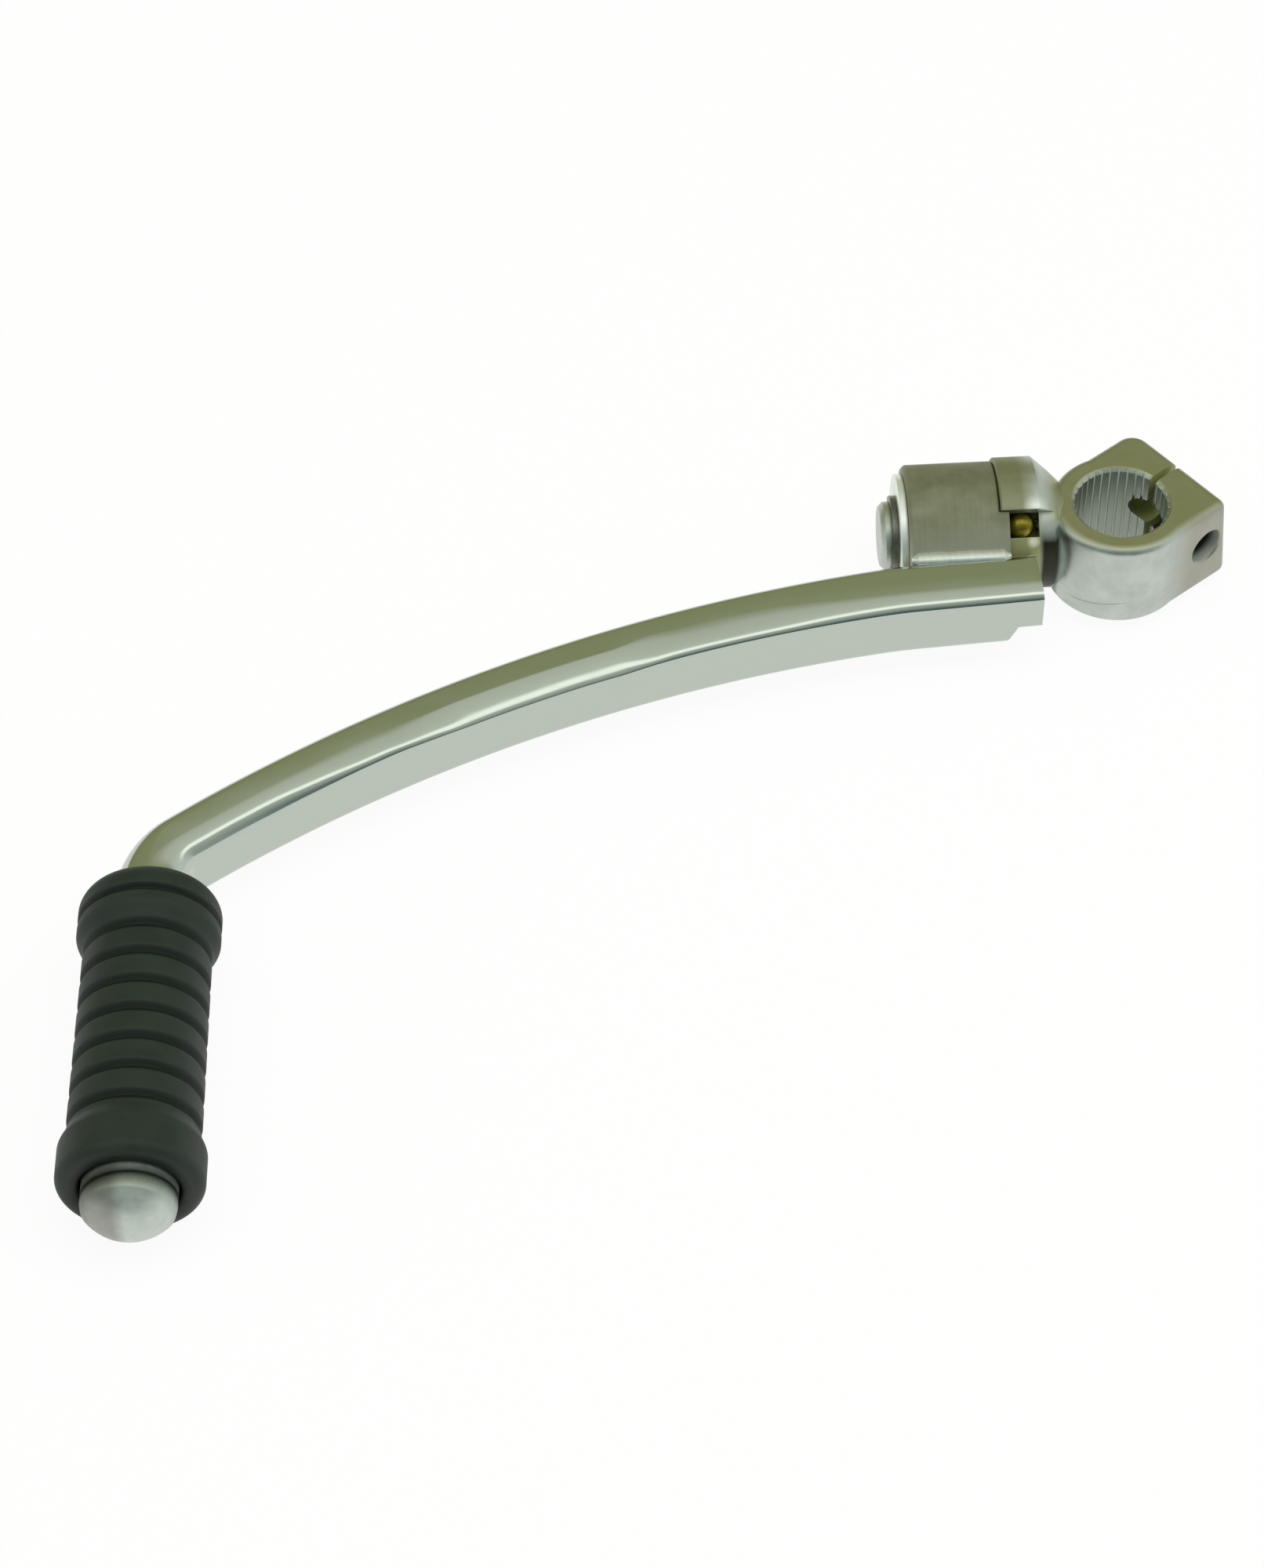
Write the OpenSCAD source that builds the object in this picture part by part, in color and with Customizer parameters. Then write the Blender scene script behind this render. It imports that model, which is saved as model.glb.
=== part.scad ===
// Folding kick start lever for a small motorcycle.
// The origin is the centre of the serrated bore, at the middle of the clamp hub's height.
// +Z runs up the bore. The fold axis runs along X, through the barrel to the left of the hub.
// The lever is drawn folded: its foot peg points towards -Y.

/* [Clamp hub] */
// Diameter of the bore between its serrations
bore_d = 16; // [12:0.1:17]
// Height of the hub along the bore
hub_h = 18; // [16:0.5:22]
// Outer diameter of the hub
hub_d = 24.4; // [23:0.1:28]
// Rounding of the hub's outer edges
hub_edge_r = 1.6; // [0.8:0.1:2.5]
// Number of serrations round the bore
serration_n = 34; // [24:1:40]
// Depth of each serration
serration_depth = 0.5; // [0.3:0.05:0.8]
// Width of each serration where it meets the bore
serration_w = 0.8; // [0.5:0.05:0.9]
// Bevel at each end of the bore
bore_bevel = 0.7; // [0.3:0.1:1.2]

/* [Clamp ears] */
// Turn of the ears from the fold axis, in degrees
ear_turn = 36; // [25:1:45]
// Distance from the bore's centre to the ears' end face, at its top
ear_reach = 14.3; // [13:0.1:17]
// How much further the ears reach at their bottom, as drawn from the forging die
ear_draft = 1.7; // [0:0.1:2.2]
// Distance from the bore's centre to the tapped ear's back
tapped_ear_w = 11.8; // [10.5:0.1:13]
// Distance from the bore's centre to the face that the bolt's head meets
head_ear_w = 12; // [10.5:0.1:13]
// Corner rounding of the tapped ear
tapped_corner_r = 3.4; // [2:0.1:4]
// Corner rounding of the bolt head's ear
head_corner_r = 1.8; // [1.7:0.1:3]
// Width of the clamp slit
slit_w = 1.3; // [1:0.1:2.4]
// Shift of the slit towards the tapped ear
slit_shift = 0.4; // [0:0.1:1.5]
// Distance from the bore's centre to the pinch bolt's axis
bolt_reach = 10; // [9.5:0.1:11]
// Height of the pinch bolt's axis above the middle of the hub
bolt_lift = 0.7; // [0:0.1:2]
// Diameter of the plain hole for the pinch bolt
bolt_hole_d = 6.6; // [5.5:0.1:7]
// Distance from the bore's centre to where the plain hole ends and the tapped one starts
bolt_relief = 4.6; // [4.4:0.1:6]
// Diameter of the tapped hole, before its thread
bolt_tap_d = 5; // [4.2:0.1:5.5]
// Bevel at the mouth of the bolt hole
bolt_bevel = 0.3; // [0.2:0.1:1]

/* [Fold joint] */
// Distance of the fold axis behind the bore's centre
fold_y = 2.3; // [0:0.1:3]
// Height of the fold axis above the middle of the hub
fold_z = 0.9; // [0:0.1:2]
// Diameter of the spindle that the lever turns on
spindle_d = 12; // [10:0.1:13]
// Length of spindle past the snap ring
spindle_end = 1.9; // [1:0.1:3]
// Distance from the bore's axis to the flange's back
flange_back = 14.3; // [13.8:0.1:16]
// Thickness of the flange
flange_w = 7.3; // [7:0.1:9]
// Diameter of the flange
flange_d = 25.6; // [24:0.1:28]
// Diameter of the neck between flange and hub, and of the flange's cut-back part
neck_d = 20.6; // [20.4:0.1:20.8]
// Length of the slope from the flange down to the neck
neck_slope = 2.2; // [1:0.1:2.4]
// Where the stop step starts, in degrees above the front
stop_turn = 61; // [50:1:65]
// How far the lever swings out, in degrees
swing = 90; // [60:5:100]
// Width of the barrel's stop lug, in degrees
lug_turn = 90; // [80:5:95]
// Length of the stop lug along the axis
lug_len = 1.6; // [1:0.1:2]
// Gap left at each end of the swing, in degrees
stop_gap = 0.5; // [0.3:0.1:1]

/* [Detent] */
// Diameter of the detent ball
ball_d = 5; // [4:0.1:5.2]
// Distance of the ball from the fold axis
ball_ring_r = 8.75; // [8.6:0.05:9]
// Where the ball sits, in degrees above the front
ball_turn = 50; // [46:1:54]
// How far the ball stands out of the flange's cut-back face
ball_proud = 0.45; // [0.3:0.05:0.6]
// Diameter of the detent spring
spring_d = 2.2; // [1.8:0.1:2.4]
// Wire diameter of the detent spring
spring_wire = 0.4; // [0.3:0.05:0.5]
// Length of the detent spring
spring_len = 2.8; // [2.4:0.1:3]
// Turns of the detent spring
spring_turns = 4; // [3:1:5]

/* [Barrel and retainers] */
// Outer diameter of the barrel
barrel_d = 24.4; // [23:0.1:25]
// Length of the barrel without its lug
barrel_len = 15.7; // [12:0.1:20]
// Bevel at the barrel's ends
barrel_bevel = 0.6; // [0.3:0.1:1.2]
// Diameter of the thrust washer
washer_d = 21.4; // [18:0.1:21.6]
// Thickness of the thrust washer
washer_t = 1.3; // [0.8:0.1:2]
// Thickness of the snap ring
ring_t = 1; // [0.8:0.1:1.5]
// Outer diameter of the snap ring
ring_d = 14; // [13.5:0.1:15]
// Depth of the snap ring's groove
ring_groove = 0.8; // [0.5:0.05:1]
// Opening of the snap ring, in degrees
ring_gap = 50; // [30:5:90]

/* [Lever arm] */
// Thickness of the arm beside the barrel, front to back
arm_t = 10.8; // [9.5:0.1:11.5]
// Thickness of the arm at the elbow
arm_t_elbow = 9.2; // [8:0.1:11]
// Distance of the arm's front face from the arm's line
arm_front = 5.2; // [4.4:0.1:5.8]
// Height of the arm
arm_h = 12; // [10:0.1:13]
// Rounding of the arm's upper edges
arm_top_r = 2.4; // [1:0.1:3.5]
// Rounding of the arm's lower edges
arm_low_r = 1.7; // [1:0.1:3]
// Distance from the bore's axis to the arm's right end
arm_end_x = 15.8; // [15.2:0.1:16.4]
// Distance from the fold axis to the arm's line at that end
arm_offset = 16.2; // [16:0.1:17.4]
// Length of the straight run beside the barrel
straight_len = 20.8; // [14:0.1:26]
// Lean of the straight run, in degrees
straight_lean = 3.5; // [0:0.1:4.5]
// Radius of the short bend past the barrel
bend_r = 97; // [60:1:140]
// Heading of the arm after the short bend, in degrees
bend_lean = 7.8; // [5:0.1:12]
// Radius of the long curve
sweep_r = 273; // [200:1:400]
// Heading of the arm at the end of the long curve, in degrees
sweep_lean = 34.8; // [25:0.1:40]
// Radius of the elbow's line
elbow_r = 10.3; // [8:0.1:16]
// Lean of the foot peg, in degrees
peg_lean = 2.1; // [0:0.1:6]
// Length of the tab at the arm's right end
tab_len = 3.8; // [2:0.1:5]
// Height cut away below the tab
tab_cut = 4.2; // [2:0.1:5]
// Length of the slope behind the tab
tab_slope = 1.6; // [0.5:0.1:3]

/* [Foot peg] */
// Diameter of the peg inside the grip
peg_d = 12; // [10:0.1:12.6]
// Diameter of the peg's head
head_d = 15; // [13.5:0.1:16.5]
// Height of the head's rim
head_rim = 6.4; // [4:0.1:8]
// Height of the head's dome above its rim
head_dome = 4; // [2:0.1:5]

/* [Grip] */
// Distance from the end of the elbow to the grip
grip_start = 2.4; // [1:0.1:5]
// Length of the grip
grip_len = 56.8; // [56:0.1:66]
// Diameter of the grip beside the collar at the arm's end
grip_d = 20.7; // [19:0.1:21.5]
// Diameter of the grip beside the collar at the head's end
grip_end_d = 21.1; // [19:0.1:21.8]
// Diameter of the collar at the arm's end
inner_collar_d = 23.2; // [22.4:0.1:25]
// Length of the collar at the arm's end
inner_collar_len = 7.9; // [7:0.1:8.4]
// Diameter of the collar at the head's end
outer_collar_d = 23.2; // [22.4:0.1:25]
// Length of the collar at the head's end
outer_collar_len = 6.6; // [6:0.1:8]
// Length of the slope from each collar to the grip
collar_slope = 3.2; // [1:0.1:3.4]
// Number of ring grooves between the collars
groove_n = 7; // [3:1:7]
// Distance from one ring groove to the next
groove_pitch = 5.6; // [4.5:0.1:5.6]
// Width of each ring groove
groove_w = 1.6; // [0.6:0.1:2]
// Depth of each ring groove
groove_depth = 0.8; // [0.4:0.1:1.2]
// Rounding of the grip's edge at the head's end
grip_end_r = 2; // [1:0.1:2.6]
// Diameter of the recess round the head
recess_d = 15.8; // [15.4:0.1:17.6]
// Depth of the recess round the head
recess_depth = 3; // [2:0.1:4]

/* [Welds] */
// Radius of the weld beads
weld_r = 1.6; // [1.2:0.1:2.2]
// Length of one ripple along a bead
weld_ripple = 1.5; // [1:0.1:2.5]
// Depth of the ripples
weld_ripple_depth = 0.14; // [0.05:0.01:0.3]

/* [Hidden] */
$fn = 96;
// Gap of the spindle in the barrel, and other fits that turn or slide
run_gap = 0.05;
// Gap along the fold axis between faces that turn on each other
face_gap = 0.15;
// Clearance between pieces that are pressed or seated together
seat_gap = 0.02;
// Depth of the bar's skin below the peg where it runs into it
peg_inset = 0.06;
// Overshoot of a cut past the face that it opens
over = 1;

bore_r = bore_d / 2;
hub_r = hub_d / 2;
spindle_r = spindle_d / 2;
barrel_r = barrel_d / 2;
neck_r = neck_d / 2;
// The neck runs into the hub flush with the hub's top face
neck_root_r = hub_h / 2 - fold_z;
flange_front = flange_back + flange_w;
barrel_near = flange_front + face_gap;
barrel_far = barrel_near + barrel_len;
lug_x = barrel_near - lug_len;
cut_face_x = lug_x - face_gap;
washer_x = barrel_far + run_gap;
ring_x = washer_x + washer_t + run_gap;
spindle_tip = ring_x + ring_t + spindle_end;
ball_x = cut_face_x + ball_proud - ball_d / 2;
ball_seat_r = ball_d / 2 + run_gap;
// The spring's end bears on the ball a little in front of the ball's back
spring_x = ball_x - ball_d / 2 + 0.08;
// Depth left behind the ball, for its travel
ball_travel = 0.6;

function heading(a) = [-cos(a), -sin(a)];
function bend_start(p, a, r) = p + r * [sin(a), -cos(a)];
function on_arc(c, a, r) = c + r * [-sin(a), cos(a)];

// Line of the arm: a straight run, a short bend, the long curve and the elbow
arm_end = [-arm_end_x, fold_y - arm_offset];
straight_end = arm_end + straight_len * heading(straight_lean);
bend_c = bend_start(straight_end, straight_lean, bend_r);
bend_end = on_arc(bend_c, bend_lean, bend_r);
sweep_c = bend_start(bend_end, bend_lean, sweep_r);
sweep_end = on_arc(sweep_c, sweep_lean, sweep_r);
elbow_c = bend_start(sweep_end, sweep_lean, elbow_r);
peg_heading = 90 - peg_lean;
peg_root = on_arc(elbow_c, peg_heading, elbow_r);

// Puts a shape's +Z along the fold axis, away from the hub
module on_fold_axis() {
    translate([0, fold_y, fold_z]) rotate([0, -90, 0]) children();
}

// Puts a shape's +Z along the foot peg, from the end of the elbow to the head
module on_peg() {
    translate([peg_root.x, peg_root.y, fold_z])
        rotate([0, 0, 180 + peg_heading])
            rotate([0, 90, 0])
                children();
}

// A ring round Z with square edges
module tube(r_out, r_in, z0, z1) {
    translate([0, 0, z0])
        difference() {
            cylinder(r = r_out, h = z1 - z0);
            translate([0, 0, -over]) cylinder(r = r_in, h = z1 - z0 + 2 * over);
        }
}

// A wedge round the fold axis, between two turns measured up from the front
module fold_wedge(turn_low, turn_high, r, z0, z1) {
    steps = ceil((turn_high - turn_low) / 30);
    step = (turn_high - turn_low) / steps;
    // Local +X is up and local -Y is the front of the fold axis
    translate([0, 0, z0])
        linear_extrude(z1 - z0)
            polygon(concat([[0, 0]],
                [for (i = [0:steps]) let (a = turn_low + i * step) 1.3 * r * [sin(a), -cos(a)]]));
}

// Outline of a round bar with rounded edges, to spin round Z
module rounded_disc(r, h, edge) {
    rotate_extrude() {
        translate([0, -h / 2]) square([r - edge, h]);
        translate([0, -h / 2 + edge]) square([r, h - 2 * edge]);
        for (side = [-1, 1]) translate([r - edge, side * (h / 2 - edge)]) circle(edge);
    }
}

// A corner post of the clamp ears, coarse enough to blend with its neighbours
module ear_post(along, across, r) {
    edge = min(hub_edge_r, r - 0.1);
    top = hub_h / 2 - edge;
    quarter = [for (a = [0:18:90]) edge * [cos(a), sin(a)]];
    translate([along, across, 0])
        rotate_extrude($fn = 32)
            polygon(concat([[0, -hub_h / 2]],
                [for (i = [5:-1:0]) [r - edge + quarter[i].x, -top - quarter[i].y]],
                [for (p = quarter) [r - edge + p.x, top + p.y]],
                [[0, hub_h / 2]]));
}

// The foot of a corner post, only as high as its rounding
module ear_foot(along, across, r) {
    edge = min(hub_edge_r, r - 0.1);
    quarter = [for (a = [0:18:90]) edge * [cos(a), sin(a)]];
    translate([along, across, edge - hub_h / 2])
        rotate_extrude($fn = 32)
            polygon(concat([[0, -edge]], [for (i = [5:-1:0]) [r - edge + quarter[i].x, -quarter[i].y]], [[0, 0]]));
}

// Block that carries the pinch bolt, square to the slit
module clamp_ears() {
    blend_r = hub_r * 0.67;
    rotate([0, 0, ear_turn])
        hull() {
            ear_post(ear_reach - tapped_corner_r, tapped_ear_w - tapped_corner_r, tapped_corner_r);
            ear_post(ear_reach - head_corner_r, head_corner_r - head_ear_w, head_corner_r);
            ear_foot(ear_reach + ear_draft - tapped_corner_r, tapped_ear_w - tapped_corner_r, tapped_corner_r);
            ear_foot(ear_reach + ear_draft - head_corner_r, head_corner_r - head_ear_w, head_corner_r);
            ear_post(0, tapped_ear_w - blend_r, blend_r);
            ear_post(0, blend_r - head_ear_w, blend_r);
        }
}

// Serrated bore, with the round lands between its grooves left as one true cylinder
module serrated_bore() {
    half_w = asin(serration_w / 2 / bore_r);
    root_r = bore_r * 0.96;
    h = hub_h + 2 * over;
    translate([0, 0, -h / 2]) {
        cylinder(r = bore_r, h = h);
        linear_extrude(h)
            polygon([for (i = [0:serration_n - 1], k = [-1:1])
                let (a = 360 / serration_n * i + k * half_w)
                (k == 0 ? bore_r + serration_depth : root_r) * [cos(a), sin(a)]]);
    }
    for (side = [-1, 1])
        translate([0, 0, side * hub_h / 2])
            rotate([side < 0 ? 180 : 0, 0, 0])
                translate([0, 0, -bore_bevel])
                    cylinder(r1 = bore_r, r2 = bore_r + bore_bevel + over, h = bore_bevel + over);
}

// Clamp slit with the plain and the tapped pinch bolt hole
module clamp_cuts() {
    rotate([0, 0, ear_turn]) {
        translate([bore_r / 2, slit_shift - slit_w / 2, -hub_h / 2 - over])
            cube([ear_reach - bore_r / 2 + over, slit_w, hub_h + 2 * over]);
        translate([bolt_reach, bolt_relief, bolt_lift])
            rotate([90, 0, 0])
                cylinder(d = bolt_hole_d, h = head_ear_w + bolt_relief + over);
        translate([bolt_reach, -head_ear_w, bolt_lift])
            rotate([90, 0, 0])
                translate([0, 0, -bolt_bevel])
                    cylinder(d1 = bolt_hole_d, d2 = bolt_hole_d + 2 * (bolt_bevel + over), h = bolt_bevel + over);
        translate([bolt_reach, bolt_relief - over, bolt_lift])
            rotate([-90, 0, 0])
                cylinder(d = bolt_tap_d, h = tapped_ear_w - bolt_relief + 2 * over);
    }
}

// Flange, neck and spindle, turned about the fold axis
module fold_stem() {
    on_fold_axis() {
        rotate_extrude()
            polygon([
                [0, 0], [neck_root_r, 0], [neck_root_r, flange_back - 2 * neck_slope],
                [neck_r, flange_back - neck_slope],
                [flange_d / 2 - 0.5, flange_back], [flange_d / 2, flange_back + 0.6],
                [flange_d / 2, flange_front - 0.3], [flange_d / 2 - 0.3, flange_front],
                [0, flange_front]
            ]);
        rotate_extrude()
            polygon([
                [0, flange_front - over], [spindle_r, flange_front - over],
                [spindle_r, spindle_tip - 0.8], [spindle_r - 0.8, spindle_tip], [0, spindle_tip]
            ]);
    }
}

// Everything cut from the stem: the lug's sector, the ball's pocket and the ring groove
module stem_cuts() {
    sector_low = stop_turn - lug_turn - swing - stop_gap;
    sector_high = stop_turn + stop_gap;
    on_fold_axis() {
        intersection() {
            fold_wedge(sector_low, sector_high, flange_d, 0, flange_front + over);
            union() {
                tube(flange_d, neck_r, flange_back - neck_slope, flange_front + over);
                tube(flange_d, spindle_r, cut_face_x, flange_front + over);
            }
        }
        rotate([0, 0, ball_turn - 90]) {
            translate([ball_ring_r, 0, ball_x - ball_d / 2 - ball_travel])
                cylinder(r = ball_seat_r, h = flange_front - ball_x + ball_d);
            translate([ball_ring_r, 0, spring_x - spring_len])
                cylinder(r = spring_d / 2 + run_gap, h = spring_len + ball_d / 2);
        }
        tube(spindle_r + over, spindle_r - ring_groove, ring_x - run_gap / 2, ring_x + ring_t + run_gap / 2);
    }
}

module knuckle() {
    color("#a6a791")
        difference() {
            union() {
                rounded_disc(hub_r, hub_h, hub_edge_r);
                clamp_ears();
                fold_stem();
            }
            serrated_bore();
            clamp_cuts();
            stem_cuts();
        }
}

module thrust_washer() {
    color("#b9bcb4")
        on_fold_axis()
            tube(washer_d / 2, spindle_r + run_gap, washer_x, washer_x + washer_t);
}

// Open ring in its groove, with its gap towards the back
module snap_ring() {
    color("#8d9088")
        on_fold_axis()
            difference() {
                tube(ring_d / 2, spindle_r - ring_groove + seat_gap, ring_x, ring_x + ring_t);
                fold_wedge(180 - ring_gap / 2, 180 + ring_gap / 2, ring_d, ring_x - over, ring_x + ring_t + over);
            }
}

module on_ball_axis() {
    on_fold_axis() rotate([0, 0, ball_turn - 90]) translate([ball_ring_r, 0, 0]) children();
}

module detent_ball() {
    color("#b5a642") on_ball_axis() translate([0, 0, ball_x]) sphere(d = ball_d);
}

// Round wire wound as a helix, from the blind end of its hole to the ball
module detent_spring() {
    pitch = (spring_len - spring_wire) / spring_turns;
    coil_r = (spring_d - spring_wire) / 2;
    sides = 6;
    per_turn = 14;
    rings = per_turn * spring_turns + 1;
    points = [for (i = [0:rings - 1], k = [0:sides - 1])
        let (a = 360 * i / per_turn, b = -360 * k / sides, r = coil_r + spring_wire / 2 * cos(b))
        [r * cos(a), r * sin(a), pitch * i / per_turn + spring_wire / 2 * (1 + sin(b))]];
    color("#77796f")
        on_ball_axis()
            translate([0, 0, spring_x - spring_len])
                polyhedron(points, concat(loft_walls(rings, sides), loft_ends(rings, sides)));
}

// Barrel with the lug that meets the stop step, bored for the spindle
module pivot_barrel() {
    color("#a3a596")
        on_fold_axis()
            difference() {
                union() {
                    rotate_extrude()
                        polygon([
                            [0, barrel_near], [barrel_r - 0.3, barrel_near], [barrel_r, barrel_near + 0.3],
                            [barrel_r, barrel_far - barrel_bevel], [barrel_r - barrel_bevel, barrel_far],
                            [0, barrel_far]
                        ]);
                    intersection() {
                        translate([0, 0, lug_x]) cylinder(r = barrel_r, h = lug_len + over);
                        fold_wedge(stop_turn - lug_turn, stop_turn, flange_d, lug_x, barrel_near + over);
                    }
                }
                translate([0, 0, lug_x - over])
                    cylinder(r = spindle_r + run_gap, h = barrel_far - lug_x + 2 * over);
                // The ball runs in a shallow track and rests in a dimple
                rotate_extrude() translate([ball_ring_r, ball_x]) circle(ball_d / 2 + 0.12);
                rotate([0, 0, ball_turn - 90])
                    translate([ball_ring_r, 0, ball_x + 0.35]) sphere(r = ball_d / 2 - 0.1);
            }
}

// Triangles that close a loft of so many rings, each with so many points
function loft_walls(rings, sides) = [for (i = [0:rings - 2], k = [0:sides - 1], half = [0, 1])
    let (a = i * sides + k, b = i * sides + (k + 1) % sides)
    half == 0 ? [a, b, b + sides] : [a, b + sides, a + sides]];
function loft_ends(rings, sides) = [for (k = [1:sides - 2], end = [0, 1])
    let (first = end * (rings - 1) * sides)
    end == 0 ? [first, first + k + 1, first + k] : [first, first + k, first + k + 1]];

// A point of the bar's section, whose thickness tapers as taper goes to 1
function mix(a, b, t) = a + (b - a) * t;
function bar_point(taper, a) = let (
    up = sin(a) > 0, back = cos(a) > 0, r = up ? arm_top_r : arm_low_r)
    [(back ? mix(arm_t, arm_t_elbow, taper) - arm_front - r : r - arm_front) + r * cos(a),
        (up ? 1 : -1) * (arm_h / 2 - r) + r * sin(a)];

// The same point on the way to the peg's round section, which it reaches as t goes to 1
function section_point(t, taper, a) =
    mix(bar_point(taper, a), (peg_d / 2 - peg_inset) * [cos(a), sin(a)], t * t * (3 - 2 * t));

// Stations of the bar: its line's place and heading, then how far it has turned round and tapered
bend_len = bend_r * (bend_lean - straight_lean) * PI / 180;
sweep_len = sweep_r * (sweep_lean - bend_lean) * PI / 180;
bend_taper = bend_len / (bend_len + sweep_len);
function arc_stations(c, r, a0, a1, taper0, taper1, steps) = [for (i = [1:steps])
    let (a = mix(a0, a1, i / steps)) [on_arc(c, a, r), a, 0, mix(taper0, taper1, i / steps)]];
function near_stations(before) = concat(
    [[arm_end - before * heading(straight_lean), straight_lean, 0, 0], [straight_end, straight_lean, 0, 0]],
    arc_stations(bend_c, bend_r, straight_lean, bend_lean, 0, bend_taper, 5));

// Skin of the bar over a list of stations
module bar_skin(stations) {
    corner_points = 9;
    turns = [for (corner = [0:3], i = [0:corner_points - 1]) 90 * corner + 1 + 88 / (corner_points - 1) * i];
    points = [for (s = stations, turn = turns)
        let (q = section_point(s[2], s[3], turn), p = s[0] + q.x * [-sin(s[1]), cos(s[1])])
        [p.x, p.y, q.y]];
    translate([0, 0, fold_z])
        polyhedron(points, concat(loft_walls(len(stations), len(turns)), loft_ends(len(stations), len(turns))));
}

// The whole bent bar, to just inside the peg
module bar() {
    elbow_steps = 16;
    lap = 0.5;
    bar_skin(concat(
        near_stations(0),
        arc_stations(sweep_c, sweep_r, bend_lean, sweep_lean, bend_taper, 1, 27),
        [for (i = [1:elbow_steps])
            let (t = i / elbow_steps, a = mix(sweep_lean, peg_heading, t)) [on_arc(elbow_c, a, elbow_r), a, t, 1]],
        [[peg_root + lap * heading(peg_heading), peg_heading, 1, 1]]));
}

// Round peg with its riveted, domed head
module peg() {
    head_base = grip_start + grip_len - recess_depth;
    rim_top = head_base + head_rim;
    head_r = head_d / 2;
    cap_r = (head_r * head_r + head_dome * head_dome) / (2 * head_dome);
    on_peg() {
        cylinder(d = peg_d, h = head_base + over);
        translate([0, 0, head_base]) cylinder(r = head_r, h = head_rim);
        intersection() {
            translate([0, 0, rim_top - over]) cylinder(r = head_r, h = head_dome + 2 * over);
            translate([0, 0, rim_top + head_dome - cap_r]) sphere(r = cap_r);
        }
    }
}

// Cuts at the arm's right end: the tab's underside and the saddle for the barrel
module arm_cuts() {
    low = fold_z - arm_h / 2;
    translate([0, fold_y, 0])
        rotate([90, 0, 0])
            linear_extrude(arm_offset + arm_t)
                polygon([
                    [-arm_end_x + 2 * over, low + tab_cut], [-arm_end_x - tab_len, low + tab_cut],
                    [-arm_end_x - tab_len - tab_slope, low + over], [-arm_end_x - tab_len - tab_slope - over, low],
                    [-arm_end_x - tab_len - tab_slope - over, low - over], [-arm_end_x + 2 * over, low - over]
                ]);
    on_fold_axis()
        translate([0, 0, lug_x - face_gap])
            cylinder(r = barrel_r + seat_gap, h = barrel_far - lug_x + 2 * face_gap);
}

module lever_arm() {
    color("#c4cac2")
        difference() {
            union() {
                bar();
                peg();
            }
            arm_cuts();
        }
}

// A rippled bead along the fold axis, at the corner of arm and barrel
module weld_bead(side) {
    first_x = side > 0 ? lug_x : barrel_near;
    n = floor((barrel_far - first_x - 0.6) / weld_ripple);
    steps = 6;
    length = n * weld_ripple;
    edge_turn = side * (asin(arm_h / 2 / barrel_r) - 2.5);
    outline = [for (i = [0:n * steps])
        let (u = i / steps, end = min(u, n - u, 1), bump = abs(sin(180 * u)))
        [(weld_r - weld_ripple_depth * (1 - bump)) * sqrt(0.35 + 0.65 * end), u * weld_ripple]];
    difference() {
        on_fold_axis()
            rotate([0, 0, edge_turn - 90])
                translate([barrel_r + weld_r / 2, 0, barrel_far - 0.3 - length])
                    rotate_extrude($fn = 40)
                        polygon(concat([[0, 0]], outline, [[0, length]]));
        on_fold_axis()
            translate([0, 0, lug_x - over])
                cylinder(r = barrel_r + seat_gap, h = barrel_far - lug_x + 2 * over);
        bar_skin(near_stations(over));
    }
}

module weld_bead_top() { color("#d0d3c9") weld_bead(1); }
module weld_bead_bottom() { color("#d0d3c9") weld_bead(-1); }

// A smooth slope of the grip's outline between two radii
function slope(r0, r1, z0, z1) = [for (t = [0:0.2:1]) [mix(r0, r1, t * t * (3 - 2 * t)), mix(z0, z1, t)]];

// Moulded grip, drawn as half a section from the arm's end to the head's end
module grip_rubber() {
    body_r = grip_d / 2;
    end_r = grip_end_d / 2;
    in_r = inner_collar_d / 2;
    out_r = outer_collar_d / 2;
    hole_r = peg_d / 2 + seat_gap;
    recess_r = recess_d / 2;
    bottom = grip_len - recess_depth + seat_gap;
    in_round = 3.4;
    out_round = grip_end_r;
    lip = 0.7;
    out_start = grip_len - outer_collar_len;
    first_groove = inner_collar_len + collar_slope + 0.9;
    groove_at = [for (i = [0:groove_n - 1]) first_groove + i * groove_pitch];
    collar_groove = inner_collar_len - 2.2;
    outline = concat(
        [[hole_r, bottom], [hole_r, 0]],
        [for (a = [0:15:90]) [in_r - in_round * (1 - sin(a)), in_round * (1 - cos(a))]],
        slope(in_r, body_r, inner_collar_len, inner_collar_len + collar_slope),
        slope(end_r, out_r, out_start - collar_slope, out_start),
        [for (a = [90:-15:0]) [out_r - out_round * (1 - sin(a)), grip_len - out_round * (1 - cos(a))]],
        [for (a = [0:30:90]) [recess_r + lip * (1 - sin(a)), grip_len - lip * (1 - cos(a))]],
        [[recess_r, bottom]]);
    color("#2b3430")
        on_peg()
            translate([0, 0, grip_start])
                difference() {
                    rotate_extrude() polygon(outline);
                    grip_groove(in_r, collar_groove);
                    for (z = groove_at) grip_groove(mix(body_r, end_r, (z - first_groove) / (out_start - first_groove)), z);
                }
}

// One ring groove of the grip, at a height along the peg
module grip_groove(r, z) {
    rotate_extrude()
        polygon([
            [r - groove_depth, z - groove_w * 0.3], [r + over, z - groove_w * 0.5 - over / 2],
            [r + over, z + groove_w * 0.5 + over / 2], [r - groove_depth, z + groove_w * 0.3]
        ]);
}

knuckle();
thrust_washer();
snap_ring();
detent_ball();
detent_spring();
pivot_barrel();
lever_arm();
weld_bead_top();
weld_bead_bottom();
grip_rubber();
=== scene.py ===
import math

import bmesh
import bpy
import numpy as np
from mathutils import Matrix, Vector


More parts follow.
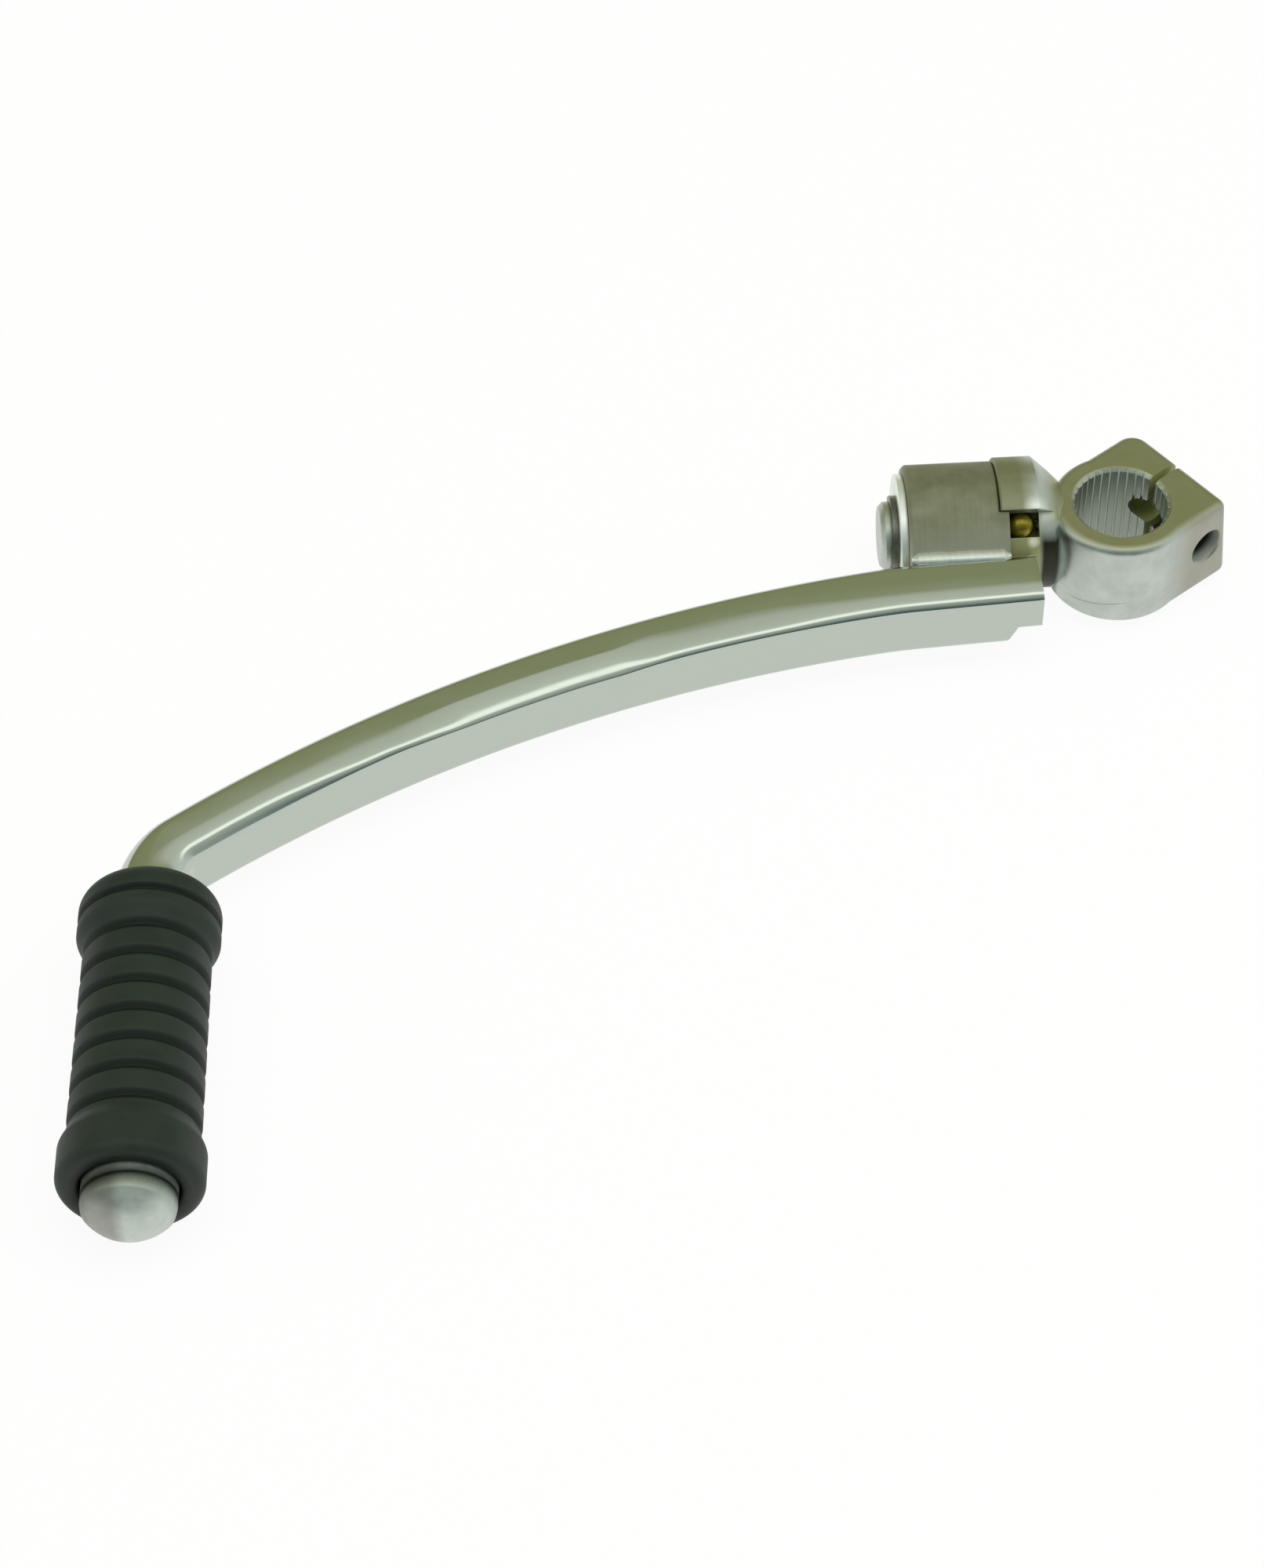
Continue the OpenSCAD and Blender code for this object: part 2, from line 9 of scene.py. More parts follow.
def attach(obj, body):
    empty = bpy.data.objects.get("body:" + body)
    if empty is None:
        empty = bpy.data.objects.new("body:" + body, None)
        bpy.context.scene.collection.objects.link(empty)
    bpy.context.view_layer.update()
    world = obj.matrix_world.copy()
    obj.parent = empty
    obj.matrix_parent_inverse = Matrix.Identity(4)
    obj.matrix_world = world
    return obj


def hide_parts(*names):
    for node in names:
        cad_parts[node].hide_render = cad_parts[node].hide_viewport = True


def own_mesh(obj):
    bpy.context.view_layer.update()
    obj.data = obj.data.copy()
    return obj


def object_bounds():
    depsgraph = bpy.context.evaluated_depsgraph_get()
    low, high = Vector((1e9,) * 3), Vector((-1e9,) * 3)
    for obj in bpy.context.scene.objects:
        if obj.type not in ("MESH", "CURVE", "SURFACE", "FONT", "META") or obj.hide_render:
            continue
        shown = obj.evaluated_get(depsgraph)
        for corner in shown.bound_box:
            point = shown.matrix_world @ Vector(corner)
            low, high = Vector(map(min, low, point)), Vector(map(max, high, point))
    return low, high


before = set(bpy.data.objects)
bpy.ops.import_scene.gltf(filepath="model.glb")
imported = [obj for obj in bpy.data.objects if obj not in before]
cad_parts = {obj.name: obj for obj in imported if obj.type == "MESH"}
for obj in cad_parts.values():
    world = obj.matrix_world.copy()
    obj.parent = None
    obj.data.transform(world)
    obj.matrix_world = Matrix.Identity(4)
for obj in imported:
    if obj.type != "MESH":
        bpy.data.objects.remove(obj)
cad_box = [list(corner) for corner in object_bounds()]


# Camera. A view of the lever from above its front, about 0.66 m away, as the photograph was taken.
# The lens gives the whole of an image 1612 x 2000 pixels, whose long side is its height.
camera = bpy.data.objects.new("camera", bpy.data.cameras.new("camera"))
bpy.context.collection.objects.link(camera)
camera.data.sensor_width = 36
camera.data.lens = 36 * 5068.5 / 2000
camera.data.clip_start = 0.01
view_turn, view_height, view_roll = math.radians(-2.548), math.radians(49.128), math.radians(-0.87)
back = Vector((
    math.sin(view_turn) * math.cos(view_height),
    -math.cos(view_turn) * math.cos(view_height),
    math.sin(view_height)))
level = Vector((math.cos(view_turn), math.sin(view_turn), 0))
upright = back.cross(level)
right = math.cos(view_roll) * level + math.sin(view_roll) * upright
top = math.cos(view_roll) * upright - math.sin(view_roll) * level
camera.matrix_world = (
    Matrix.Translation(Vector((-0.088064, -0.05222, 0.000905)) + 0.65892 * back)
    @ Matrix((right, top, back)).transposed().to_4x4())
bpy.context.scene.camera = camera
bpy.context.scene.view_settings.view_transform = "Standard"


# Studio. A pale matt floor under a soft overhead light, with a dim room in front and an olive wall behind.
# Bright plate mirrors all three, so the room's brightness by height decides the streaks along the lever.
def linear(code):
    """Linear colour of an sRGB hex value."""
    parts = [int(code[i:i + 2], 16) / 255 for i in (1, 3, 5)]
    return [c / 12.92 if c <= 0.04045 else ((c + 0.055) / 1.055) ** 2.4 for c in parts] + [1]


def add(tree, kind, inputs=None, **settings):
    """Adds a node. inputs gives each socket, by name or number, a value or the socket that feeds it."""
    made = tree.nodes.new(kind)
    for name, value in settings.items():
        setattr(made, name, value)
    for name, value in (inputs or {}).items():
        if isinstance(value, bpy.types.NodeSocket):
            tree.links.new(value, made.inputs[name])
        else:
            made.inputs[name].default_value = value
    return made


world = bpy.data.worlds.new("studio")
bpy.context.scene.world = world
world.use_nodes = True
room = world.node_tree
room.nodes.clear()
direction = add(room, "ShaderNodeSeparateXYZ", {0: add(room, "ShaderNodeTexCoord").outputs["Generated"]})
to_front = add(room, "ShaderNodeMath", {0: direction.outputs["Y"], 1: -1}, operation="MULTIPLY")
turn = add(room, "ShaderNodeMath", {0: direction.outputs["Z"], 1: to_front.outputs[0]}, operation="ARCTAN2")
height = add(room, "ShaderNodeMath", {0: turn.outputs[0], 1: math.pi}, operation="DIVIDE")
# Each stop is a height round from the front horizon, in degrees, and the light there
room_stops = [
    (0, "#2f3a3c"), (20, "#323e3f"), (34, "#4e5756"), (48, "#6a6e6b"), (64, "#7b7d78"), (69, "#bcbebb"),
    (78, "#bcbebb"), (83, "#8b8d88"), (100, "#85867f"), (114, "#82827c"), (124, "#717263"), (131, "#60624b"),
    (180, "#5b5b40")]
ramp = add(room, "ShaderNodeValToRGB", {0: height.outputs[0]})
while len(ramp.color_ramp.elements) < len(room_stops):
    ramp.color_ramp.elements.new(0.5)
for stop, (degrees, code) in zip(ramp.color_ramp.elements, room_stops):
    stop.position = degrees / 180
for stop, (degrees, code) in zip(ramp.color_ramp.elements, room_stops):
    stop.color = linear(code)
# A pale opening on the right shows in what faces that way
opening = add(
    room, "ShaderNodeMapRange", {0: direction.outputs["X"], 1: 0.6, 2: 0.98}, interpolation_type="SMOOTHSTEP")
room_colour = add(room, "ShaderNodeMix", {
    0: opening.outputs[0], 6: ramp.outputs["Color"], 7: linear("#8c908d")}, data_type="RGBA")
room_light = add(room, "ShaderNodeBackground", {"Color": room_colour.outputs[2], "Strength": 3.2})
white_light = add(room, "ShaderNodeBackground", {"Color": linear("#ffffff"), "Strength": 1})
seen = add(room, "ShaderNodeMixShader", {
    0: add(room, "ShaderNodeLightPath").outputs["Is Camera Ray"],
    1: room_light.outputs[0], 2: white_light.outputs[0]})
add(room, "ShaderNodeOutputWorld", {0: seen.outputs[0]})

# A wide soft lamp evens out the light on what is matt. Plate doesn't mirror it.
softbox = bpy.data.objects.new("softbox", bpy.data.lights.new("softbox", "AREA"))
bpy.context.collection.objects.link(softbox)
softbox.data.shape = "RECTANGLE"
softbox.data.size, softbox.data.size_y = 1.4, 0.9
softbox.data.energy = 7
softbox.matrix_world = Matrix.Translation((0.2, -0.2, 1.15)) @ Matrix.Rotation(math.radians(13), 4, "Y")
softbox.visible_glossy = False
softbox.visible_camera = False


def start_material(name):
    """A material with an empty node tree, and the piece's own coordinates turned by a Mapping node."""
    material = bpy.data.materials.new(name)
    material.use_nodes = True
    tree = material.node_tree
    tree.nodes.clear()
    place = add(tree, "ShaderNodeMapping", {0: add(tree, "ShaderNodeTexCoord").outputs["Object"]})
    return material, tree, place


# Floor of matt white card, which shows almost white and keeps a faint shadow under the lever.
card, tree, place = start_material("matt_white_card")
grain = add(tree, "ShaderNodeTexNoise", {"Vector": place.outputs[0], "Scale": 900, "Detail": 2})
dents = add(tree, "ShaderNodeBump", {"Height": grain.outputs[0], "Strength": 0.05, "Distance": 0.0002})
matt = add(tree, "ShaderNodeBsdfDiffuse", {"Color": linear("#f2f2ee"), "Normal": dents.outputs[0]})
lit = add(tree, "ShaderNodeEmission", {"Color": linear("#ffffff"), "Strength": 1})
rays = add(tree, "ShaderNodeLightPath")
# The camera and the plate see it nearly white. What is matt gets only the light that the card throws back.
shown = add(tree, "ShaderNodeMath", {
    0: rays.outputs["Is Camera Ray"], 1: rays.outputs["Is Glossy Ray"]}, operation="MAXIMUM")
shown = add(tree, "ShaderNodeMath", {
    0: shown.outputs[0], 1: rays.outputs["Is Transmission Ray"]}, operation="MAXIMUM")
share = add(tree, "ShaderNodeMath", {0: shown.outputs[0], 1: 0.93}, operation="MULTIPLY")
mixed = add(tree, "ShaderNodeMixShader", {0: share.outputs[0], 1: matt.outputs[0], 2: lit.outputs[0]})
add(tree, "ShaderNodeOutputMaterial", {0: mixed.outputs[0]})
floor_z = cad_box[0][2]
floor_mesh = bpy.data.meshes.new("floor")
floor_corners = [(x, y, floor_z) for x, y in ((-3, -3), (3, -3), (3, 3), (-3, 3))]
floor_mesh.from_pydata(floor_corners, [], [(0, 1, 2, 3)])
floor_mesh.materials.append(card)
floor = bpy.data.objects.new("floor", floor_mesh)
bpy.context.collection.objects.link(floor)


# Knuckle. One steel forging: clamp hub with a serrated bore, two ears, the neck, the flange and the spindle.
# Zinc plated and passivated to a satin olive grey, it is blotchy where the forging's skin shows through.
def smooth_copy(node, name, sharp, bevel=0):
    """A copy of a CAD node with its triangles joined, shaded smooth up to the sharp angle in degrees.
    Its edges are worn round by a bevel in millimetres."""
    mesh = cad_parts[node].data.copy()
    mesh.name = name
    mesh.materials.clear()
    work = bmesh.new()
    work.from_mesh(mesh)
    bmesh.ops.remove_doubles(work, verts=work.verts, dist=2e-6)
    bmesh.ops.dissolve_degenerate(work, edges=work.edges, dist=2e-5)
    bmesh.ops.dissolve_limit(work, angle_limit=math.radians(0.4), verts=work.verts, edges=work.edges)
    work.to_mesh(mesh)
    work.free()
    piece = bpy.data.objects.new(name, mesh)
    bpy.context.collection.objects.link(piece)
    if bevel:
        worn = piece.modifiers.new("worn_edges", "BEVEL")
        worn.width = bevel * 0.001
        worn.segments = 2
        worn.limit_method = "ANGLE"
        worn.angle_limit = math.radians(32)
        worn.use_clamp_overlap = True
        bpy.context.view_layer.update()
        beveled = bpy.data.meshes.new_from_object(piece.evaluated_get(bpy.context.evaluated_depsgraph_get()))
        piece.modifiers.clear()
        piece.data = beveled
        bpy.data.meshes.remove(mesh)
        mesh = beveled
        mesh.name = name
    mesh.shade_smooth()
    mesh.set_sharp_from_angle(angle=math.radians(sharp))
    return piece


satin_zinc, tree, place = start_material("satin_zinc_plate_on_forging")
# Blotches of 4 mm and specks under 1 mm, as plate takes on a forged skin
blotch = add(tree, "ShaderNodeTexNoise", {
    "Vector": place.outputs[0], "Scale": 240, "Detail": 4, "Roughness": 0.6})
speck = add(tree, "ShaderNodeTexNoise", {
    "Vector": place.outputs[0], "Scale": 1500, "Detail": 3, "Roughness": 0.6})
tint = add(tree, "ShaderNodeValToRGB", {0: blotch.outputs[0]})
tint.color_ramp.elements[0].position, tint.color_ramp.elements[0].color = 0.35, linear("#b5bcb3")
tint.color_ramp.elements[1].position, tint.color_ramp.elements[1].color = 0.68, linear("#c9d1ca")
gloss = add(tree, "ShaderNodeMapRange", {0: blotch.outputs[0], 1: 0.3, 2: 0.7, 3: 0.36, 4: 0.48})
waves = add(tree, "ShaderNodeBump", {"Height": blotch.outputs[0], "Strength": 0.2, "Distance": 0.0002})
pits = add(tree, "ShaderNodeBump", {
    "Height": speck.outputs[0], "Strength": 0.3, "Distance": 0.00006, "Normal": waves.outputs[0]})
spot = add(tree, "ShaderNodeSeparateXYZ", {0: place.outputs[0]})


def band(value, low, high, blur=0.0004, within=1.0):
    """A mask, in metres: 1 where value lies from low to high, with a soft step at each end, times within."""
    first = add(tree, "ShaderNodeMapRange", {0: value, 1: low - blur, 2: low + blur})
    last = add(tree, "ShaderNodeMapRange", {0: value, 1: high - blur, 2: high + blur, 3: 1.0, 4: 0.0})
    share = add(tree, "ShaderNodeMath", {0: first.outputs[0], 1: last.outputs[0]}, operation="MULTIPLY")
    return add(tree, "ShaderNodeMath", {0: share.outputs[0], 1: within}, operation="MULTIPLY").outputs[0]


# An olive grease film lies on the flange below the ball's pocket, with its tone painted to stand in for the
# shade under the tab and in the pocket. Painted shade, nearly black, fills the corner at the neck
in_front = band(spot.outputs["Y"], -0.03, -0.0042, 0.0005)
on_flange = band(spot.outputs["X"], -0.03, -0.0166, 0.0012)
below_pocket = band(spot.outputs["Z"], -0.02, 0.0105, within=band(spot.outputs["Y"], -0.03, -0.0005))
grease_and_shade = band(spot.outputs["X"], -0.03, -0.0145, within=below_pocket)
low_front = band(spot.outputs["Z"], -0.02, 0.0072, 0.0009, within=in_front)
painted_neck_shade = band(spot.outputs["X"], -0.0145, -0.0112, within=low_front)
# Painted reflection: the flat top of the hub is painted more olive, as it mirrors the olive wall behind, and
# the ears are painted a warmer, duller grey, standing in for what their rounded tops reflect
top_faces = band(spot.outputs["Z"], 0.0087, 0.02, 0.0003)
painted_top_reflection = band(spot.outputs["X"], -0.0125, 0.03, 0.001, within=top_faces)
painted_ear_reflection = band(spot.outputs["X"], 0.0095, 0.03, 0.0028)
# A painted shadow line runs across the lower front of the hub, where the dies met
slope = add(tree, "ShaderNodeMath", {0: spot.outputs["X"], 1: -0.175, 2: 0.00368}, operation="MULTIPLY_ADD")
above = add(tree, "ShaderNodeMath", {0: spot.outputs["Z"], 1: slope.outputs[0]}, operation="ADD")
seam_run = band(spot.outputs["X"], -0.0092, -0.0004, 0.0008, within=in_front)
painted_seam_shadow = band(above.outputs[0], -0.00007, 0.00007, 0.00009, within=seam_run)
# The painted shadow line of the seam
worn = add(tree, "ShaderNodeMix", {0: painted_seam_shadow, 6: tint.outputs[0], 7: linear("#7f8780")}, data_type="RGBA")
# Painted reflections on the ears and the top of the hub
warm = add(tree, "ShaderNodeMix", {0: painted_ear_reflection, 6: worn.outputs[2], 7: linear("#a6a698")}, data_type="RGBA")
olive = add(tree, "ShaderNodeMix", {0: painted_top_reflection, 6: warm.outputs[2], 7: linear("#a9ac8c")}, data_type="RGBA")
patches = add(tree, "ShaderNodeMix", {
    0: blotch.outputs[0], 6: linear("#8a8d70"), 7: linear("#b0b498")}, data_type="RGBA")
filmed = add(tree, "ShaderNodeMix", {
    0: on_flange, 6: olive.outputs[2], 7: patches.outputs[2]}, data_type="RGBA")
# The olive grease film, its tone painted as the shade under the tab and in the pocket
greased_and_shaded = add(tree, "ShaderNodeMix", {0: grease_and_shade, 6: filmed.outputs[2], 7: linear("#a3a676")}, data_type="RGBA")
# Painted shade: the corner at the neck is nearly black
neck_shaded = add(tree, "ShaderNodeMix", {0: painted_neck_shade, 6: greased_and_shaded.outputs[2], 7: linear("#23260f")}, data_type="RGBA")
# Two painted highlights: one on the flange's edge, and one on the step under the ball
final = neck_shaded
for where, size, code in (
        ((-0.0152, -0.0037, 0.0122), 0.0028, "#e6ede5"), ((-0.0159, -0.0064, 0.0066), 0.0013, "#fbf5df")):
    near = add(tree, "ShaderNodeVectorMath", {0: place.outputs[0], 1: where}, operation="DISTANCE")
    painted_highlight = add(tree, "ShaderNodeMapRange", {
        0: near.outputs["Value"], 1: 0.3 * size, 2: size, 3: 0.9, 4: 0.0})
    final = add(tree, "ShaderNodeMix", {
        0: painted_highlight.outputs[0], 6: final.outputs[2], 7: linear(code)}, data_type="RGBA")
# The painted shade and the grease hide half of the metal's shine, and the flange is duller than the rest
shade_or_grease = add(tree, "ShaderNodeMath", {0: grease_and_shade, 1: painted_neck_shade}, operation="MAXIMUM")
metal = add(tree, "ShaderNodeMapRange", {0: shade_or_grease.outputs[0], 3: 1.0, 4: 0.45})
duller = add(tree, "ShaderNodeMath", {0: on_flange, 1: 0.16, 2: gloss.outputs[0]}, operation="MULTIPLY_ADD")
skin = add(tree, "ShaderNodeBsdfPrincipled", {
    "Base Color": final.outputs[2], "Metallic": metal.outputs[0], "Roughness": duller.outputs[0],
    "Normal": pits.outputs[0]})
add(tree, "ShaderNodeOutputMaterial", {0: skin.outputs[0]})

machined, tree, place = start_material("broached_bare_steel")
# Broaching leaves marks about 0.5 mm apart that run down the bore, and the grooves are painted bright, as
# painted light against the shade inside them
place.inputs["Scale"].default_value = (1, 1, 0)
cuts = add(tree, "ShaderNodeTexNoise", {"Vector": place.outputs[0], "Scale": 2000, "Detail": 2})
dents = add(tree, "ShaderNodeBump", {"Height": cuts.outputs[0], "Strength": 0.06, "Distance": 0.00005})
# The lands lie at a radius of 8 mm, and the floors of the grooves at 8.5 mm
from_centre = add(tree, "ShaderNodeVectorMath", {0: place.outputs[0]}, operation="LENGTH")
groove = add(tree, "ShaderNodeMapRange", {0: from_centre.outputs["Value"], 1: 0.00805, 2: 0.0083})
# Painted light: the grooves near white, the lands darker
tint = add(tree, "ShaderNodeMix", {
    0: groove.outputs[0], 6: linear("#949d90"), 7: linear("#fbfdf8")}, data_type="RGBA")
metal = add(tree, "ShaderNodeMapRange", {0: groove.outputs[0], 3: 0.9, 4: 0.25})
skin = add(tree, "ShaderNodeBsdfPrincipled", {
    "Base Color": tint.outputs[2], "Metallic": metal.outputs[0], "Roughness": 0.45, "Normal": dents.outputs[0]})
add(tree, "ShaderNodeOutputMaterial", {0: skin.outputs[0]})

drilled, tree, place = start_material("drilled_bare_steel")
# The bolt hole is bright at its mouth and painted darker from 2 mm inwards, as painted shade inside it
bolt_line = Vector((0.587785, -0.809017, 0))
depth = add(tree, "ShaderNodeVectorMath", {0: place.outputs[0], 1: bolt_line}, operation="DOT_PRODUCT")
depth = add(tree, "ShaderNodeMapRange", {0: depth.outputs["Value"], 1: 0.0104, 2: 0.0092})
tint = add(tree, "ShaderNodeMix", {
    0: depth.outputs[0], 6: linear("#cfd4cc"), 7: linear("#3d423c")}, data_type="RGBA")
skin = add(tree, "ShaderNodeBsdfPrincipled", {
    "Base Color": tint.outputs[2], "Metallic": 0.6, "Roughness": 0.4})
add(tree, "ShaderNodeOutputMaterial", {0: skin.outputs[0]})

olive_reflecting, tree, place = start_material("painted_olive_reflection_on_zinc")
# The slit and the tapped hole are painted olive, a painted reflection of the olive wall, and half dull, with
# clouds of 2 to 3 mm
film = add(tree, "ShaderNodeTexNoise", {"Vector": place.outputs[0], "Scale": 400, "Detail": 3})
tint = add(tree, "ShaderNodeMix", {
    0: film.outputs[0], 6: linear("#8f955c"), 7: linear("#b6bd7c")}, data_type="RGBA")
skin = add(tree, "ShaderNodeBsdfPrincipled", {
    "Base Color": tint.outputs[2], "Metallic": 0.4, "Roughness": 0.4})
add(tree, "ShaderNodeOutputMaterial", {0: skin.outputs[0]})

knuckle = smooth_copy("knuckle", "forged_knuckle", 30, 0.2)
for material in (satin_zinc, machined, olive_reflecting, drilled):
    knuckle.data.materials.append(material)
# The bore and the bolt hole are bare inside. The slit and the tapped ear's half of the hole are painted olive,
# as a painted reflection.
# From the middle of the near ear's hole, the slit's two sides lie at -5.7 and -7.0 mm along the bolt.
bolt_hole = Vector((0.011602, 0.001044, 0.0007))
for face in knuckle.data.polygons:
    from_bolt = face.center - bolt_hole
    across = from_bolt.dot(bolt_line)
    off_bolt = (from_bolt - across * bolt_line).length
    faces_along = abs(face.normal.dot(bolt_line))
    in_slit = faces_along > 0.95 and -0.0076 < across < -0.005 and face.center.y > 0.004
    in_hole = off_bolt < 0.0034 and faces_along < 0.5
    if face.center.xy.length < 0.0086 and abs(face.normal.z) < 0.5:
        face.material_index = 1
    elif in_hole or in_slit:
        face.material_index = 3 if across > -0.0055 else 2
# The hub's large flat faces stay even right up to their rounded edges
normals = [corner.vector.copy() for corner in knuckle.data.corner_normals]
flats = {}
for face in knuckle.data.polygons:
    if face.area > 2e-6 and abs(face.normal.z) > 0.999:
        flats.update({corner: face.normal.copy() for corner in face.vertices})
for face in knuckle.data.polygons:
    for loop, corner in zip(face.loop_indices, face.vertices):
        if corner in flats and face.normal.dot(flats[corner]) > 0.8:
            normals[loop] = flats[corner]
knuckle.data.normals_split_custom_set(normals)
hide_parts("knuckle")
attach(knuckle, "hub")


# Thrust washer. Stamped from sheet and bright zinc plated, it stays in place between barrel and snap ring.
bright_zinc, tree, place = start_material("bright_zinc_plate_on_stamping")
# Bright plate over a sheared and slightly dented sheet, with clouds of 3 mm
cloud = add(tree, "ShaderNodeTexNoise", {"Vector": place.outputs[0], "Scale": 300, "Detail": 4})
gloss = add(tree, "ShaderNodeMapRange", {0: cloud.outputs[0], 1: 0.3, 2: 0.7, 3: 0.26, 4: 0.42})
dents = add(tree, "ShaderNodeBump", {"Height": cloud.outputs[0], "Strength": 0.25, "Distance": 0.0001})
skin = add(tree, "ShaderNodeBsdfPrincipled", {
    "Base Color": linear("#eaf0e8"), "Metallic": 0.7, "Roughness": gloss.outputs[0],
    "Normal": dents.outputs[0]})
add(tree, "ShaderNodeOutputMaterial", {0: skin.outputs[0]})

washer = smooth_copy("thrust_washer", "stamped_washer", 30, 0.2)
washer.data.materials.append(bright_zinc)
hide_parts("thrust_washer")
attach(washer, "hub")


# Snap ring and detent spring. Both are hard spring steel, dark with oil: the ring snaps into the spindle's
# groove, and the spring is wound from wire and pushes the ball out of its pocket.
oiled_steel, tree, place = start_material("oiled_spring_steel")
# Dark and smooth, with a thin film of oil in clouds of 1 to 2 mm
film = add(tree, "ShaderNodeTexNoise", {"Vector": place.outputs[0], "Scale": 700, "Detail": 3})
tint = add(tree, "ShaderNodeMix", {
    0: film.outputs[0], 6: linear("#5b5d54"), 7: linear("#8b8e84")}, data_type="RGBA")
skin = add(tree, "ShaderNodeBsdfPrincipled", {
    "Base Color": tint.outputs[2], "Metallic": 1, "Roughness": 0.34})
add(tree, "ShaderNodeOutputMaterial", {0: skin.outputs[0]})

ring = smooth_copy("snap_ring", "open_snap_ring", 30, 0.1)
ring.data.materials.append(oiled_steel)
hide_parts("snap_ring")
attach(ring, "hub")


def grow(tree, name, material, sizes):
    """A plain mesh from a Geometry Nodes tree, with the tree's named inputs set to sizes."""
    piece = bpy.data.objects.new(name, bpy.data.meshes.new(name))
    bpy.context.collection.objects.link(piece)
    growth = piece.modifiers.new("growth", "NODES")
    growth.node_group = tree
    for item in tree.interface.items_tree:
        if item.in_out == "INPUT" and item.name in sizes:
            growth[item.identifier] = sizes[item.name]
        if item.in_out == "INPUT" and item.name == "Material":
            growth[item.identifier] = material
    bpy.context.view_layer.update()
    mesh = bpy.data.meshes.new_from_object(piece.evaluated_get(bpy.context.evaluated_depsgraph_get()))
    piece.modifiers.clear()
    piece.data = mesh
    return piece


def start_tree(name, sizes):
    """A Geometry Nodes tree with a float input for each size, and its material."""
    tree = bpy.data.node_groups.new(name, "GeometryNodeTree")
    tree.interface.new_socket("Geometry", in_out="OUTPUT", socket_type="NodeSocketGeometry")
    for size in sizes:
        tree.interface.new_socket(size, in_out="INPUT", socket_type="NodeSocketFloat")
    tree.interface.new_socket("Material", in_out="INPUT", socket_type="NodeSocketMaterial")
    return tree, add(tree, "NodeGroupInput").outputs


def end_tree(tree, geometry, material):
    """Realizes what the tree made, shades it smooth and gives it its material."""
    real = add(tree, "GeometryNodeRealizeInstances", {0: geometry})
    smooth = add(tree, "GeometryNodeSetShadeSmooth", {0: real.outputs[0]})
    coated = add(tree, "GeometryNodeSetMaterial", {0: smooth.outputs[0], "Material": material})
    add(tree, "NodeGroupOutput", {0: coated.outputs[0]})


winding, sizes = start_tree("wire_winding", ["Turns", "Coil radius", "Wire radius", "Free length"])
coil = add(winding, "GeometryNodeCurveSpiral", {
    "Resolution": 48, "Rotations": sizes["Turns"], "Start Radius": sizes["Coil radius"],
    "End Radius": sizes["Coil radius"], "Height": sizes["Free length"]})
wire = add(winding, "GeometryNodeCurvePrimitiveCircle", {"Resolution": 16, "Radius": sizes["Wire radius"]})
swept = add(winding, "GeometryNodeCurveToMesh", {0: coil.outputs[0], 1: wire.outputs[0], "Fill Caps": True})
end_tree(winding, swept.outputs[0], sizes["Material"])
spring = grow(winding, "wound_detent_spring", oiled_steel, {
    "Turns": 4.0, "Coil radius": 0.0009, "Wire radius": 0.0002, "Free length": 0.0024})
spring.data.transform(
    Matrix.Translation((-0.01293, -0.003324, 0.007603)) @ Matrix.Rotation(math.radians(-90), 4, "Y"))
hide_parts("detent_spring")
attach(spring, "hub")
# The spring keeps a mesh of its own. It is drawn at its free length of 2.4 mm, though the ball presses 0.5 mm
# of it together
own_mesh(spring)


# Detent ball. A hard polished ball with a yellow passivate, greased, that clicks into the barrel's dimple.
gold_plate, tree, place = start_material("yellow_passivated_ball")
# Yellow where it is wiped and brown where grease lies, in smears of 2 mm
smear = add(tree, "ShaderNodeTexNoise", {"Vector": place.outputs[0], "Scale": 500, "Detail": 3})
tint = add(tree, "ShaderNodeMix", {
    0: smear.outputs[0], 6: linear("#4c4414"), 7: linear("#b0a03f")}, data_type="RGBA")
gloss = add(tree, "ShaderNodeMapRange", {0: smear.outputs[0], 1: 0.35, 2: 0.65, 3: 0.46, 4: 0.26})
skin = add(tree, "ShaderNodeBsdfPrincipled", {
    "Base Color": tint.outputs[2], "Metallic": 1, "Roughness": gloss.outputs[0]})
add(tree, "ShaderNodeOutputMaterial", {0: skin.outputs[0]})

ball = smooth_copy("detent_ball", "greased_detent_ball", 60)
ball.data.materials.append(gold_plate)
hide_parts("detent_ball")
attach(ball, "ball")


# Pivot barrel. Turned and bored from bar, zinc plated, and welded along the arm: it swings on the spindle.
# The lathe leaves rings, which run round the fold axis and show as faint upright streaks.
turned_zinc, tree, place = start_material("zinc_plate_on_turned_steel")
place.inputs["Scale"].default_value = (1, 0.02, 0.02)
# Rings about 0.8 mm and 0.2 mm apart: real tool marks are finer, but these still show
rings = add(tree, "ShaderNodeTexNoise", {
    "Vector": place.outputs[0], "Scale": 1300, "Detail": 5, "Roughness": 0.7})
own = add(tree, "ShaderNodeTexCoord")
cloud = add(tree, "ShaderNodeTexNoise", {"Vector": own.outputs["Object"], "Scale": 260, "Detail": 4})
tint = add(tree, "ShaderNodeValToRGB", {0: cloud.outputs[0]})
tint.color_ramp.elements[0].position, tint.color_ramp.elements[0].color = 0.35, linear("#8f9277")
tint.color_ramp.elements[1].position, tint.color_ramp.elements[1].color = 0.68, linear("#9fa18a")
gloss = add(tree, "ShaderNodeMapRange", {0: rings.outputs[0], 1: 0.3, 2: 0.7, 3: 0.6, 4: 0.72})
marks = add(tree, "ShaderNodeBump", {"Height": rings.outputs[0], "Strength": 0.25, "Distance": 0.00008})
